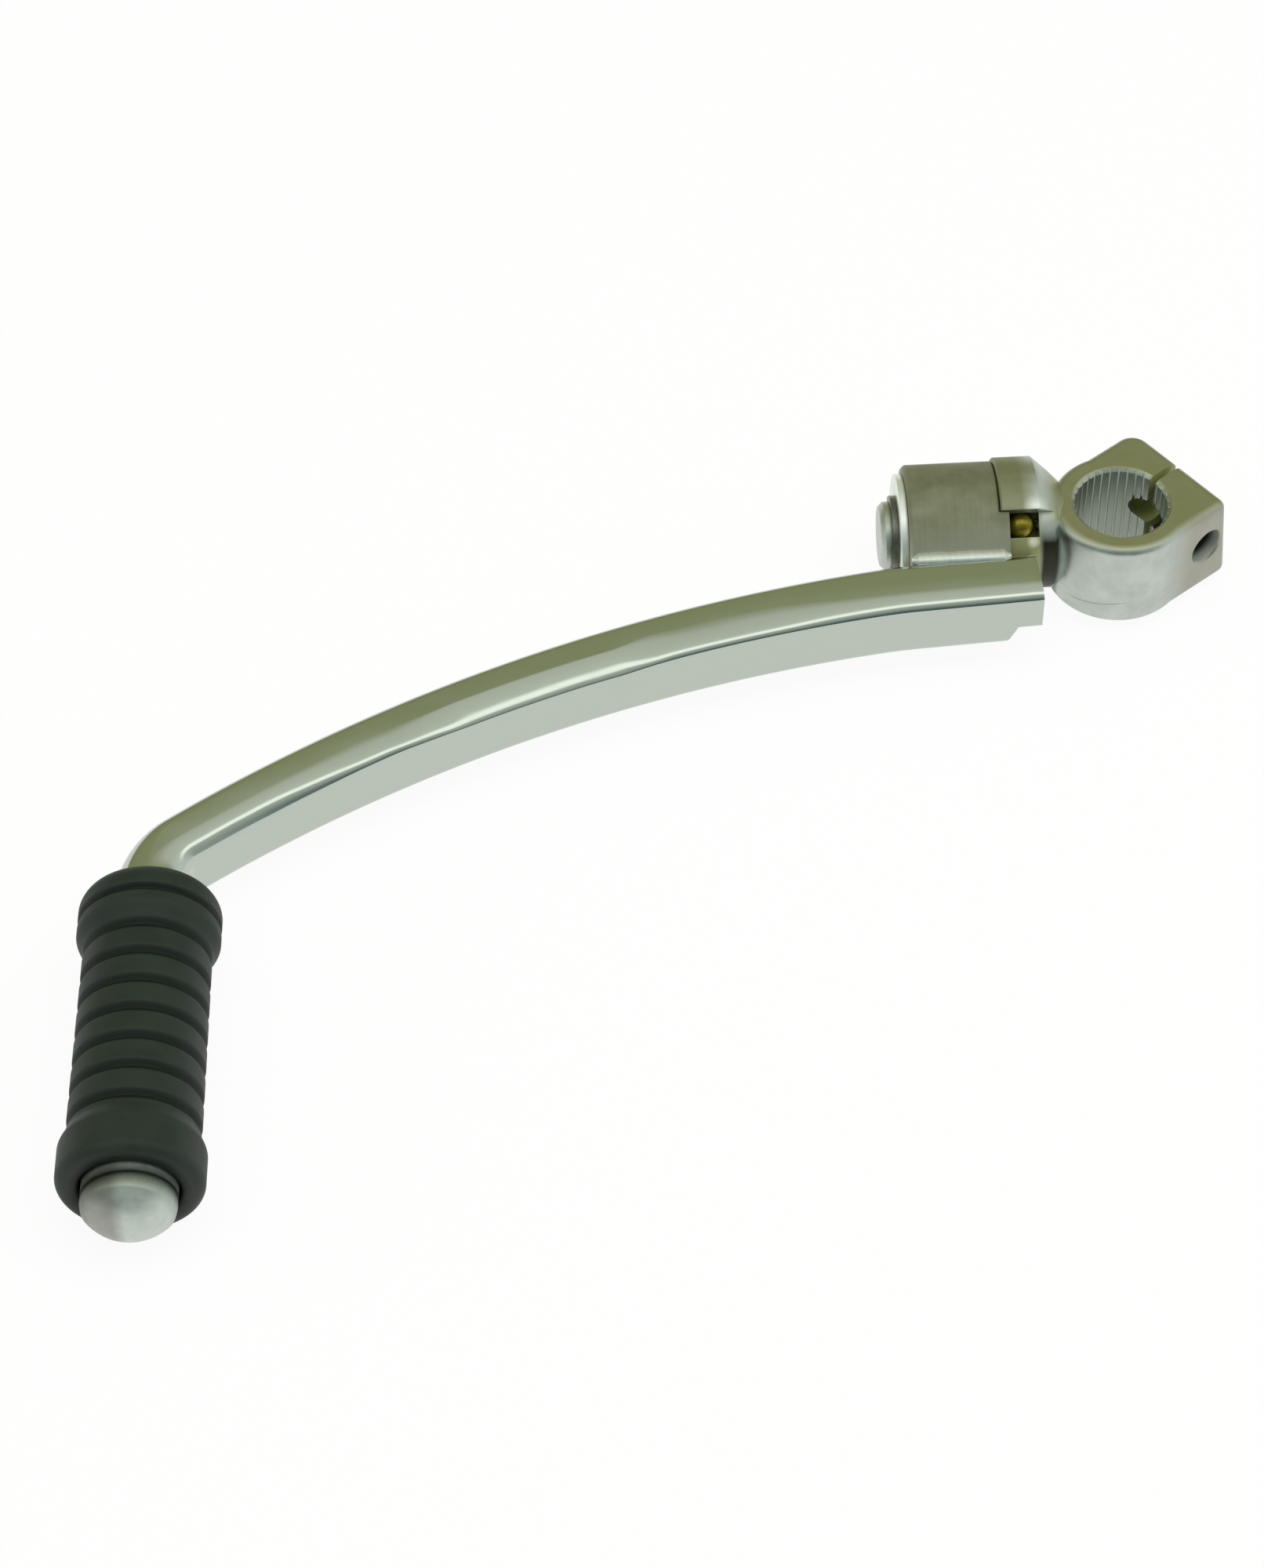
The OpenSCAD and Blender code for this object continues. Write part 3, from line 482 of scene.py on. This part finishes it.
# The lower front is painted brighter above the weld, as a painted reflection of the weld and the arm's top
level = add(tree, "ShaderNodeSeparateXYZ", {0: own.outputs["Object"]})
painted_highlight = add(tree, "ShaderNodeMapRange", {0: level.outputs["Z"], 1: 0.011, 2: 0.006, 3: 0.0, 4: 1.0})
painted_highlight = add(tree, "ShaderNodeMix", {
    0: painted_highlight.outputs[0], 6: tint.outputs[0], 7: linear("#c8c7b8")}, data_type="RGBA")
skin = add(tree, "ShaderNodeBsdfPrincipled", {
    "Base Color": painted_highlight.outputs[2], "Metallic": 0.95, "Roughness": gloss.outputs[0],
    "Normal": marks.outputs[0]})
add(tree, "ShaderNodeOutputMaterial", {0: skin.outputs[0]})

barrel = smooth_copy("pivot_barrel", "turned_pivot_barrel", 30, 0.15)
barrel.data.materials.append(turned_zinc)
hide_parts("pivot_barrel")
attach(barrel, "lever")


# Lever arm. One bar, pressed to its curve, with a tab at the hub and the round peg at its other end, whose
# head is riveted over. Polished, nickelled and chrome plated, so that it mirrors the room in long streaks.
chrome, tree, place = start_material("bright_chrome_plate")
# Polishing by hand leaves the faces a little wavy, over 10 to 30 mm along the bar
place.inputs["Rotation"].default_value = (0, 0, math.radians(-20))
place.inputs["Scale"].default_value = (0.35, 1, 1)
swell = add(tree, "ShaderNodeTexNoise", {
    "Vector": place.outputs[0], "Scale": 110, "Detail": 1.5, "Roughness": 0.4})
waves = add(tree, "ShaderNodeBump", {"Height": swell.outputs[0], "Strength": 0.22, "Distance": 0.0006})
haze = add(tree, "ShaderNodeTexNoise", {"Vector": place.outputs[0], "Scale": 500, "Detail": 4})
gloss = add(tree, "ShaderNodeMapRange", {0: haze.outputs[0], 1: 0.3, 2: 0.7, 3: 0.07, 4: 0.15})
skin = add(tree, "ShaderNodeBsdfPrincipled", {
    "Base Color": linear("#bac2b8"), "Metallic": 1, "Roughness": gloss.outputs[0], "Normal": waves.outputs[0]})
add(tree, "ShaderNodeOutputMaterial", {0: skin.outputs[0]})

hammered, tree, place = start_material("chrome_plate_on_riveted_head")
# The rivet set leaves flats 2 to 3 mm across on the dome
flats = add(tree, "ShaderNodeTexVoronoi", {"Vector": place.outputs[0], "Scale": 330}, feature="SMOOTH_F1")
dull = add(tree, "ShaderNodeTexNoise", {"Vector": place.outputs[0], "Scale": 900, "Detail": 3})
# The side away from the hub is painted darker, as a painted reflection of the dimmer room on that side
side = add(tree, "ShaderNodeSeparateXYZ", {0: place.outputs[0]})
painted_side_shade = add(tree, "ShaderNodeMapRange", {0: side.outputs["X"], 1: -0.1715, 2: -0.1695, 3: 0.0, 4: 1.0})
tint = add(tree, "ShaderNodeMix", {
    0: painted_side_shade.outputs[0], 6: linear("#a5a69e"), 7: linear("#ccd4cc")}, data_type="RGBA")
# Painted shade lies round the rim, darkest where it enters the rubber
into_rim = add(tree, "ShaderNodeMapRange", {0: side.outputs["Y"], 1: -0.1345, 2: -0.1295})
rim_painted_shade = add(tree, "ShaderNodeValToRGB", {0: into_rim.outputs[0]})
rim_shade_stops = [(0, "#ffffff"), (0.4, "#b3b8b2"), (0.6, "#8b918a"), (0.74, "#161916"), (1, "#ffffff")]
while len(rim_painted_shade.color_ramp.elements) < len(rim_shade_stops):
    rim_painted_shade.color_ramp.elements.new(0.5)
for stop, (share, code) in zip(rim_painted_shade.color_ramp.elements, rim_shade_stops):
    stop.position = share
for stop, (share, code) in zip(rim_painted_shade.color_ramp.elements, rim_shade_stops):
    stop.color = linear(code)
tint = add(tree, "ShaderNodeMix", {
    0: 1.0, 6: tint.outputs[2], 7: rim_painted_shade.outputs[0]}, data_type="RGBA", blend_type="MULTIPLY")
waves = add(tree, "ShaderNodeBump", {"Height": flats.outputs[0], "Strength": 0.12, "Distance": 0.0004})
gloss = add(tree, "ShaderNodeMapRange", {0: dull.outputs[0], 1: 0.3, 2: 0.7, 3: 0.42, 4: 0.56})
skin = add(tree, "ShaderNodeBsdfPrincipled", {
    "Base Color": tint.outputs[2], "Metallic": 0.9, "Roughness": gloss.outputs[0], "Normal": waves.outputs[0]})
add(tree, "ShaderNodeOutputMaterial", {0: skin.outputs[0]})

# The bar in millimetres and degrees. Its line is a straight run, a short bend, the long curve and the elbow.
# Its section is 12 tall, and 10.8 thick at the hub but 9.2 at the elbow.
fold_y, fold_z = 2.3, 0.9
tab_end, run_length = (-15.8, fold_y - 16.2), 20.8
run_turn, bend_turn, sweep_turn, peg_turn = 3.5, 7.8, 34.8, 87.9
bend_r, sweep_r, elbow_r = 97, 273, 10.3
thick, thick_elbow, front, tall, top_r, low_r = 10.8, 9.2, 5.2, 12, 2.4, 1.7


def ahead(turn):
    """The direction along the bar where it has turned so far."""
    return np.array([-math.cos(math.radians(turn)), -math.sin(math.radians(turn))])


def aside(turn):
    """The direction across the bar, away from its front."""
    return np.array([-math.sin(math.radians(turn)), math.cos(math.radians(turn))])


# Each point of the line has its turn, its share of the change to a disc, and its share of the taper
line = []
spot = np.array(tab_end)
for step in range(15):
    line.append((spot + run_length * step / 14 * ahead(run_turn), run_turn, 0, 0))
spot = line[-1][0]
bend_length, sweep_length = bend_r * math.radians(4.3), sweep_r * math.radians(27)
for radius, first, last, count in (
        (bend_r, run_turn, bend_turn, 10), (sweep_r, bend_turn, sweep_turn, 108),
        (elbow_r, sweep_turn, peg_turn, 36)):
    centre = spot - radius * aside(first)
    for step in range(1, count + 1):
        turn = first + (last - first) * step / count
        run = math.radians(turn - first) * radius + (0 if radius == bend_r else bend_length)
        in_elbow = radius == elbow_r
        taper = 1 if in_elbow else min(1, run / (bend_length + sweep_length))
        line.append((centre + radius * aside(turn), turn, step / count if in_elbow else 0, taper))
    spot = line[-1][0]
peg_root = spot

# Points round the section: 13 on each rounded corner, and 5 on the flat before the next one
section = []
for corner in range(4):
    section += [(90 * corner + 1 + 88 * i / 12, 0) for i in range(13)]
    section += [(90 * corner + 89 + 2 * share, share) for share in (0.03, 0.25, 0.5, 0.75, 0.97)]


def fall(across, x):
    """How far polishing has let the bar's top fall away towards the front."""
    most = np.interp(x, (-135, -120, -95, -80), (0.4, 0.15, 0.15, 0.4))
    return most * min(1, max(0, (2 - across) / 7.2)) ** 2


# The press spreads the upper front edge: sharp beside the barrel, flattened next, and rounder towards the peg.
# These are the edge's width and height at some places along the bar.
edge_x = (-151, -135, -127, -117, -90, -84, -62, -49, -41)
edge_widths = (3.8, 4.2, 4.2, 4.3, 4.3, 5.2, 5, 3.7, 3.3)
edge_heights = (3, 1.7, 1.6, 2, 2, 1.6, 1.5, 1.6, 1.6)


def on_corner(turn, taper, x):
    """The point on a rounded corner whose radius points turn degrees up from the back."""
    a = math.radians(turn)
    if math.sin(a) > 0 > math.cos(a):
        # Above 1, flatness makes the corner more of a chamfer
        flatness = np.interp(x, (-129, -119, -90, -80), (1, 1.5, 1.5, 1))
        across = np.interp(x, edge_x, edge_widths) * (1 - abs(math.cos(a)) ** flatness) - front
        up = tall / 2 - np.interp(x, edge_x, edge_heights) * (1 - math.sin(a) ** flatness)
        return np.array([across, up - fall(across, x)])
    radius = top_r if math.sin(a) > 0 else low_r
    back = thick + (thick_elbow - thick) * taper - front
    across = (back - radius if math.cos(a) > 0 else radius - front) + radius * math.cos(a)
    up = math.copysign(tall / 2 - radius, math.sin(a)) + radius * math.sin(a)
    return np.array([across, up - fall(across, x) if math.sin(a) > 0 else up])


def on_section(turn, share, rounding, taper, x):
    """The point of the section at turn, or that share of the way over the flat before the next corner."""
    if share:
        corner = round(turn / 90) * 90
        flat = on_corner(corner - 1, taper, x) * (1 - share) + on_corner(corner + 1, taper, x) * share
        if corner == 90:
            flat[1] = tall / 2 - fall(flat[0], x)
    else:
        flat = on_corner(turn, taper, x)
    mix = rounding * rounding * (3 - 2 * rounding)
    disc = 5.94 * np.array([math.cos(math.radians(turn)), math.sin(math.radians(turn))])
    return flat * (1 - mix) + disc * mix


bar_points = []
for spot, turn, rounding, taper in line:
    for angle, share in section:
        across, up = on_section(angle, share, rounding, taper, spot[0])
        x, y = spot + across * aside(turn)
        bar_points.append((x, y, fold_z + up))
# The peg goes on as plain rings: its shank, the shoulder under the head, the rim and the dome
peg_r, shoulder, grip_len, head_sunk = 6, 2.4, 56.8, 3
head_base, rim, dome_height, head_r = shoulder + grip_len - head_sunk, 6.4, 4, 7.5
cap_r = (head_r ** 2 + dome_height ** 2) / (2 * dome_height)
peg_rings = [(0.5, peg_r), (head_base - 0.05, peg_r), (head_base, peg_r + 0.05)]
peg_rings += [(head_base, head_r - 0.2), (head_base + 0.2, head_r)]
peg_rings += [(head_base + rim * step / 8, head_r) for step in range(1, 8)]
edge = math.asin(head_r / cap_r)
for step in range(1, 24):
    a = edge * (1 - step / 24)
    peg_rings.append((head_base + rim + dome_height - cap_r + cap_r * math.cos(a), cap_r * math.sin(a)))
for along, radius in peg_rings:
    for angle, share in section:
        a = math.radians(angle)
        x, y = peg_root + along * ahead(peg_turn) + radius * math.cos(a) * aside(peg_turn)
        bar_points.append((x, y, fold_z + radius * math.sin(a)))
tip = peg_root + (head_base + rim + dome_height) * ahead(peg_turn)
bar_points.append((tip[0], tip[1], fold_z))
around = len(section)
rows = len(line) + len(peg_rings)
bar_faces = [
    (i * around + k, i * around + (k + 1) % around, (i + 1) * around + (k + 1) % around, (i + 1) * around + k)
    for i in range(rows - 1) for k in range(around)]
bar_faces += [tuple(range(around))]
last_row = (rows - 1) * around
bar_faces += [(last_row + k, last_row + (k + 1) % around, rows * around) for k in range(around)]


def mesh_piece(name, points, faces):
    """A piece from points in millimetres, with its faces turned outwards."""
    mesh = bpy.data.meshes.new(name)
    mesh.from_pydata([tuple(0.001 * c for c in p) for p in points], [], faces)
    work = bmesh.new()
    work.from_mesh(mesh)
    bmesh.ops.recalc_face_normals(work, faces=work.faces)
    work.to_mesh(mesh)
    work.free()
    piece = bpy.data.objects.new(name, mesh)
    bpy.context.collection.objects.link(piece)
    return piece


arm = mesh_piece("chromed_lever_arm", bar_points, bar_faces)
# Two cuts: the tab's underside, and the saddle that the barrel lies in
low = fold_z - tall / 2
step_outline = [
    (-13.8, low + 4.2), (-19.6, low + 4.2), (-21.2, low + 1), (-22.2, low), (-22.2, low - 1), (-13.8, low - 1)]
saddle_r, saddle_sides = 12.22, 256
saddle_turns = [2 * math.pi * k / saddle_sides for k in range(saddle_sides)]


def prism_faces(sides):
    """The faces of a prism whose two ends come one after the other in its points."""
    ends = [tuple(range(sides)), tuple(range(2 * sides - 1, sides - 1, -1))]
    return ends + [(k, (k + 1) % sides, (k + 1) % sides + sides, k + sides) for k in range(sides)]


under_tab = mesh_piece(
    "cut_under_tab", [(x, y, z) for y in (-25, 5) for x, z in step_outline], prism_faces(len(step_outline)))
saddle = mesh_piece(
    "cut_saddle",
    [(x, fold_y + saddle_r * math.cos(a), fold_z + saddle_r * math.sin(a))
     for x in (-37.6, -19.9) for a in saddle_turns],
    prism_faces(saddle_sides))
for cutter in (under_tab, saddle):
    cut = arm.modifiers.new(cutter.name, "BOOLEAN")
    cut.operation = "DIFFERENCE"
    cut.solver = "EXACT"
    cut.object = cutter
worn = arm.modifiers.new("worn_edges", "BEVEL")
worn.width = 0.00025
worn.segments = 3
worn.limit_method = "ANGLE"
worn.angle_limit = math.radians(40)
bpy.context.view_layer.update()
arm_mesh = bpy.data.meshes.new_from_object(arm.evaluated_get(bpy.context.evaluated_depsgraph_get()))
arm.modifiers.clear()
arm.data = arm_mesh
for cutter in (under_tab, saddle):
    bpy.data.objects.remove(cutter)
arm_mesh.shade_smooth()
arm_mesh.set_sharp_from_angle(angle=math.radians(35))
arm_mesh.materials.clear()
arm_mesh.materials.append(chrome)
arm_mesh.materials.append(hammered)
head_start = peg_root + (head_base - 0.5) * ahead(peg_turn)
for face in arm_mesh.polygons:
    face.material_index = int(np.dot(np.array(face.center[:2]) * 1000 - head_start, ahead(peg_turn)) > 0)
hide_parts("lever_arm")
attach(arm, "lever")


# Weld beads. Two runs of weld join the barrel to the arm, along the top and the underside of the saddle.
# Laid as overlapping ripples and plated over, they stay bright and uneven.
plated_weld, tree, place = start_material("plate_on_weld_bead")
# Bright, with specks of spatter about 1 mm across
spatter = add(tree, "ShaderNodeTexNoise", {"Vector": place.outputs[0], "Scale": 900, "Detail": 3})
waves = add(tree, "ShaderNodeBump", {"Height": spatter.outputs[0], "Strength": 0.2, "Distance": 0.0001})
gloss = add(tree, "ShaderNodeMapRange", {0: spatter.outputs[0], 1: 0.3, 2: 0.7, 3: 0.3, 4: 0.44})
skin = add(tree, "ShaderNodeBsdfPrincipled", {
    "Base Color": linear("#d5dcd3"), "Metallic": 0.75, "Roughness": gloss.outputs[0],
    "Normal": waves.outputs[0]})
add(tree, "ShaderNodeOutputMaterial", {0: skin.outputs[0]})

beading, sizes = start_tree("weld_beading", ["Length", "Bead radius", "Ripple length", "Ripple depth"])
end_point = add(beading, "ShaderNodeCombineXYZ", {"X": sizes["Length"]})
run = add(beading, "GeometryNodeCurvePrimitiveLine", {"End": end_point.outputs[0]})
run = add(beading, "GeometryNodeResampleCurve", {0: run.outputs[0], "Count": 240})
along = add(beading, "GeometryNodeSplineParameter").outputs["Length"]
ripples = add(beading, "ShaderNodeMath", {0: along, 1: sizes["Ripple length"]}, operation="DIVIDE")
ripples = add(beading, "ShaderNodeMath", {0: ripples.outputs[0]}, operation="FRACT")
# Each ripple starts steep and runs out flat, as weld pools do
ripples = add(beading, "ShaderNodeMath", {0: ripples.outputs[0], 1: 0.6}, operation="POWER")
ripples = add(beading, "ShaderNodeMath", {
    0: ripples.outputs[0], 1: sizes["Ripple depth"]}, operation="MULTIPLY")
point = add(beading, "GeometryNodeInputPosition")
uneven = add(beading, "ShaderNodeTexNoise", {"Vector": point.outputs[0], "Scale": 350.0, "Detail": 2.0})
uneven = add(beading, "ShaderNodeMapRange", {0: uneven.outputs[0], 1: 0.3, 2: 0.7, 3: -0.00012, 4: 0.00012})
from_end = add(beading, "ShaderNodeMath", {0: sizes["Length"], 1: along}, operation="SUBTRACT")
nearer = add(beading, "ShaderNodeMath", {0: from_end.outputs[0], 1: along}, operation="MINIMUM")
rounded = add(beading, "ShaderNodeMapRange", {
    0: nearer.outputs[0], 1: 0.0, 2: 0.0015, 3: 0.5, 4: 1.0}, interpolation_type="SMOOTHERSTEP")
radius = add(beading, "ShaderNodeMath", {
    0: sizes["Bead radius"], 1: ripples.outputs[0]}, operation="SUBTRACT")
radius = add(beading, "ShaderNodeMath", {0: radius.outputs[0], 1: uneven.outputs[0]}, operation="ADD")
radius = add(beading, "ShaderNodeMath", {0: radius.outputs[0], 1: rounded.outputs[0]}, operation="MULTIPLY")
hoop = add(beading, "GeometryNodeCurvePrimitiveCircle", {"Resolution": 40, "Radius": 1.0})
bead = add(beading, "GeometryNodeCurveToMesh", {
    0: run.outputs[0], 1: hoop.outputs[0], "Scale": radius.outputs[0], "Fill Caps": True})
end_tree(beading, bead.outputs[0], sizes["Material"])
# The beads lie where the saddle meets the bar's top and underside, 2.5 degrees lower
corner_turn = math.degrees(math.asin(tall / 2 / 12.2)) - 2.5
for node, side, length in (("weld_bead_top", 1, 0.0172), ("weld_bead_bottom", -1, 0.0155)):
    bead = grow(beading, "rippled_" + node, plated_weld, {
        "Length": length, "Bead radius": 0.0014, "Ripple length": 0.0011, "Ripple depth": 0.0001})
    a = math.radians(side * corner_turn)
    bead.data.transform(Matrix.Translation((
        -0.0374, 0.001 * (fold_y - 13.15 * math.cos(a)), 0.001 * (fold_z + 12.55 * math.sin(a))))
        @ Matrix.Diagonal((1, 1, 0.8, 1)))
    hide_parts(node)
    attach(bead, "lever")


# Grip. Black rubber, moulded in one piece and pushed over the peg, with a collar at each end and ring grooves
# between them. It has dulled to a dark green grey, and it scuffs lighter where a boot rubs it.
rubber, tree, place = start_material("moulded_black_rubber")
mottle = add(tree, "ShaderNodeTexNoise", {
    "Vector": place.outputs[0], "Scale": 160, "Detail": 5, "Roughness": 0.6})
grit = add(tree, "ShaderNodeTexNoise", {"Vector": place.outputs[0], "Scale": 2400, "Detail": 2})
tint = add(tree, "ShaderNodeValToRGB", {0: mottle.outputs[0]})
tint.color_ramp.elements[0].position, tint.color_ramp.elements[0].color = 0.35, linear("#141f18")
tint.color_ramp.elements[1].position, tint.color_ramp.elements[1].color = 0.7, linear("#1e2b23")
# Painted shade makes the grooves and the mouth round the head nearly black
painted_hollow_shade = add(tree, "ShaderNodeAttribute", attribute_name="painted_hollow_shade")
tint = add(tree, "ShaderNodeMix", {
    0: painted_hollow_shade.outputs["Fac"], 6: tint.outputs[0], 7: linear("#0e1511")}, data_type="RGBA")
shine = add(tree, "ShaderNodeMapRange", {0: painted_hollow_shade.outputs["Fac"], 3: 0.42, 4: 0.24})
gloss = add(tree, "ShaderNodeMapRange", {0: mottle.outputs[0], 1: 0.3, 2: 0.7, 3: 0.52, 4: 0.68})
dents = add(tree, "ShaderNodeBump", {"Height": grit.outputs[0], "Strength": 0.2, "Distance": 0.00008})
skin = add(tree, "ShaderNodeBsdfPrincipled", {
    "Base Color": tint.outputs[2], "Roughness": gloss.outputs[0], "IOR": 1.52,
    "Specular IOR Level": shine.outputs[0], "Normal": dents.outputs[0]})
add(tree, "ShaderNodeOutputMaterial", {0: skin.outputs[0]})

body_r, end_r, collar_r, recess_r, hole_r = 10.35, 10.55, 11.6, 7.9, 6.02
inner_round, outer_round, lip_round = 3.4, 2, 0.7
inner_end, slope, outer_start = 7.9, 3.2, grip_len - 6.6
recess_floor = grip_len - head_sunk


def ease(a, b, t):
    """From a to b as t goes from 0 to 1, starting and ending level."""
    return a + (b - a) * t * t * (3 - 2 * t)


quarter = np.linspace(0, math.pi / 2, 16)
slope_start = outer_start - slope
body_run = slope_start - inner_end - slope
outside = [(collar_r - inner_round * (1 - math.sin(a)), inner_round * (1 - math.cos(a))) for a in quarter]
outside += [(collar_r, z) for z in np.arange(inner_round + 0.2, inner_end, 0.15)]
outside += [(ease(collar_r, body_r, t), inner_end + slope * t) for t in np.linspace(0, 1, 20)]
outside += [
    (body_r + (end_r - body_r) * t, inner_end + slope + body_run * t) for t in np.linspace(0, 1, 250)[1:-1]]
outside += [(ease(end_r, collar_r, t), slope_start + slope * t) for t in np.linspace(0, 1, 20)]
outside += [(collar_r, z) for z in np.arange(outer_start + 0.2, grip_len - outer_round, 0.2)]
outside += [
    (collar_r - outer_round * (1 - math.sin(a)), grip_len - outer_round * (1 - math.cos(a)))
    for a in quarter[::-1]]
inside = [
    (recess_r + lip_round * (1 - math.sin(a)), grip_len - lip_round * (1 - math.cos(a)))
    for a in np.linspace(0, math.pi / 2, 8)]
inside += [(recess_r, recess_floor + 0.15), (recess_r - 0.15, recess_floor + 0.02)]
inside += [(hole_r, recess_floor + 0.02), (hole_r, 0)]
outline = outside + inside
slices = 128
grip_points = []
for radius, along in outline:
    for k in range(slices):
        a = 2 * math.pi * k / slices
        x, y = peg_root + (shoulder + along) * ahead(peg_turn) + radius * math.cos(a) * aside(peg_turn)
        grip_points.append((x, y, fold_z + radius * math.sin(a)))
grip_faces = [
    (i * slices + k, i * slices + (k + 1) % slices,
     (i + 1) % len(outline) * slices + (k + 1) % slices, (i + 1) % len(outline) * slices + k)
    for i in range(len(outline)) for k in range(slices)]
grip = mesh_piece("moulded_rubber_grip", grip_points, grip_faces)

grooving = bpy.data.node_groups.new("ring_grooving", "GeometryNodeTree")
grooving.interface.new_socket("Geometry", in_out="OUTPUT", socket_type="NodeSocketGeometry")
grooving.interface.new_socket("Geometry", in_out="INPUT", socket_type="NodeSocketGeometry")
for size in ("First groove", "Last groove", "Pitch", "Width", "Depth"):
    grooving.interface.new_socket(size, in_out="INPUT", socket_type="NodeSocketFloat")
for size in ("Peg start", "Peg direction"):
    grooving.interface.new_socket(size, in_out="INPUT", socket_type="NodeSocketVector")
grooving.interface.new_socket("Material", in_out="INPUT", socket_type="NodeSocketMaterial")
sizes = add(grooving, "NodeGroupInput").outputs
point = add(grooving, "GeometryNodeInputPosition")
arrow = add(grooving, "ShaderNodeVectorMath", {
    0: point.outputs[0], 1: sizes["Peg start"]}, operation="SUBTRACT")
along = add(grooving, "ShaderNodeVectorMath", {
    0: arrow.outputs[0], 1: sizes["Peg direction"]}, operation="DOT_PRODUCT")
axis = add(grooving, "ShaderNodeVectorMath", {
    0: sizes["Peg direction"], "Scale": along.outputs["Value"]}, operation="SCALE")
outward = add(grooving, "ShaderNodeVectorMath", {
    0: arrow.outputs[0], 1: axis.outputs[0]}, operation="SUBTRACT")
spread = add(grooving, "ShaderNodeVectorMath", {0: outward.outputs[0]}, operation="LENGTH")
inward = add(grooving, "ShaderNodeVectorMath", {0: outward.outputs[0]}, operation="NORMALIZE")
# Distance to the nearest groove, then a smooth V as deep as the groove
first = add(grooving, "ShaderNodeMath", {
    0: along.outputs["Value"], 1: sizes["First groove"]}, operation="SUBTRACT")
nearest = add(grooving, "ShaderNodeMath", {0: first.outputs[0], 1: sizes["Pitch"]}, operation="DIVIDE")
nearest = add(grooving, "ShaderNodeMath", {0: nearest.outputs[0]}, operation="ROUND")
nearest = add(grooving, "ShaderNodeMath", {0: nearest.outputs[0], 1: sizes["Pitch"]}, operation="MULTIPLY")
nearest = add(grooving, "ShaderNodeMath", {
    0: nearest.outputs[0], 1: sizes["First groove"]}, operation="ADD")
# Grooves from the first to the last stand at the pitch, and none stands before or after them
nearest = add(grooving, "ShaderNodeMath", {
    0: nearest.outputs[0], 1: sizes["First groove"]}, operation="MAXIMUM")
nearest = add(grooving, "ShaderNodeMath", {
    0: nearest.outputs[0], 1: sizes["Last groove"]}, operation="MINIMUM")
off = add(grooving, "ShaderNodeMath", {
    0: along.outputs["Value"], 1: nearest.outputs[0]}, operation="SUBTRACT")
off = add(grooving, "ShaderNodeMath", {0: off.outputs[0]}, operation="ABSOLUTE")
cut_share = add(grooving, "ShaderNodeMapRange", {
    0: off.outputs[0], 1: 0.0, 2: sizes["Width"], 3: 1.0, 4: 0.0}, interpolation_type="SMOOTHSTEP")
deep = add(grooving, "ShaderNodeMath", {0: cut_share.outputs[0], 1: sizes["Depth"]}, operation="MULTIPLY")
deep = add(grooving, "ShaderNodeMath", {0: deep.outputs[0], 1: -1.0}, operation="MULTIPLY")
on_skin = add(grooving, "ShaderNodeMath", {0: spread.outputs["Value"], 1: 0.0095}, operation="GREATER_THAN")
push = add(grooving, "ShaderNodeVectorMath", {
    0: inward.outputs[0], "Scale": deep.outputs[0]}, operation="SCALE")
moved = add(grooving, "GeometryNodeSetPosition", {
    0: sizes["Geometry"], "Selection": on_skin.outputs[0], "Offset": push.outputs[0]})
# The grooves and the mouth round the head are marked for painted shade
before = add(grooving, "GeometryNodeInputNamedAttribute", {"Name": "painted_hollow_shade"}, data_type="FLOAT")
mouth = add(grooving, "ShaderNodeMapRange", {
    0: spread.outputs["Value"], 1: 0.0084, 2: 0.0094, 3: 1.0, 4: 0.0})
painted_hollow_shade = add(grooving, "ShaderNodeMath", {0: cut_share.outputs[0], 1: mouth.outputs[0]}, operation="MAXIMUM")
painted_hollow_shade = add(grooving, "ShaderNodeMath", {
    0: painted_hollow_shade.outputs[0], 1: before.outputs["Attribute"]}, operation="MAXIMUM")
marked = add(grooving, "GeometryNodeStoreNamedAttribute", {
    0: moved.outputs[0], "Name": "painted_hollow_shade", "Value": painted_hollow_shade.outputs[0]}, data_type="FLOAT", domain="POINT")
end_tree(grooving, marked.outputs[0], sizes["Material"])
peg_start = peg_root + shoulder * ahead(peg_turn)
for first_groove, last_groove, width in ((0.0120, 0.0456, 0.0013), (0.0057, 0.0057, 0.001)):
    cut = grip.modifiers.new("ring_grooves", "NODES")
    cut.node_group = grooving
    values = {
        "First groove": first_groove, "Last groove": last_groove, "Pitch": 0.0056, "Width": width,
        "Depth": 0.0009, "Peg start": (0.001 * peg_start[0], 0.001 * peg_start[1], 0.001 * fold_z),
        "Peg direction": (*ahead(peg_turn), 0.0), "Material": rubber}
    for item in grooving.interface.items_tree:
        if item.in_out == "INPUT" and item.name in values:
            cut[item.identifier] = values[item.name]
bpy.context.view_layer.update()
grooved = bpy.data.meshes.new_from_object(grip.evaluated_get(bpy.context.evaluated_depsgraph_get()))
grip.modifiers.clear()
grip.data = grooved
grooved.set_sharp_from_angle(angle=math.radians(50))
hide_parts("grip_rubber")
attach(grip, "lever")
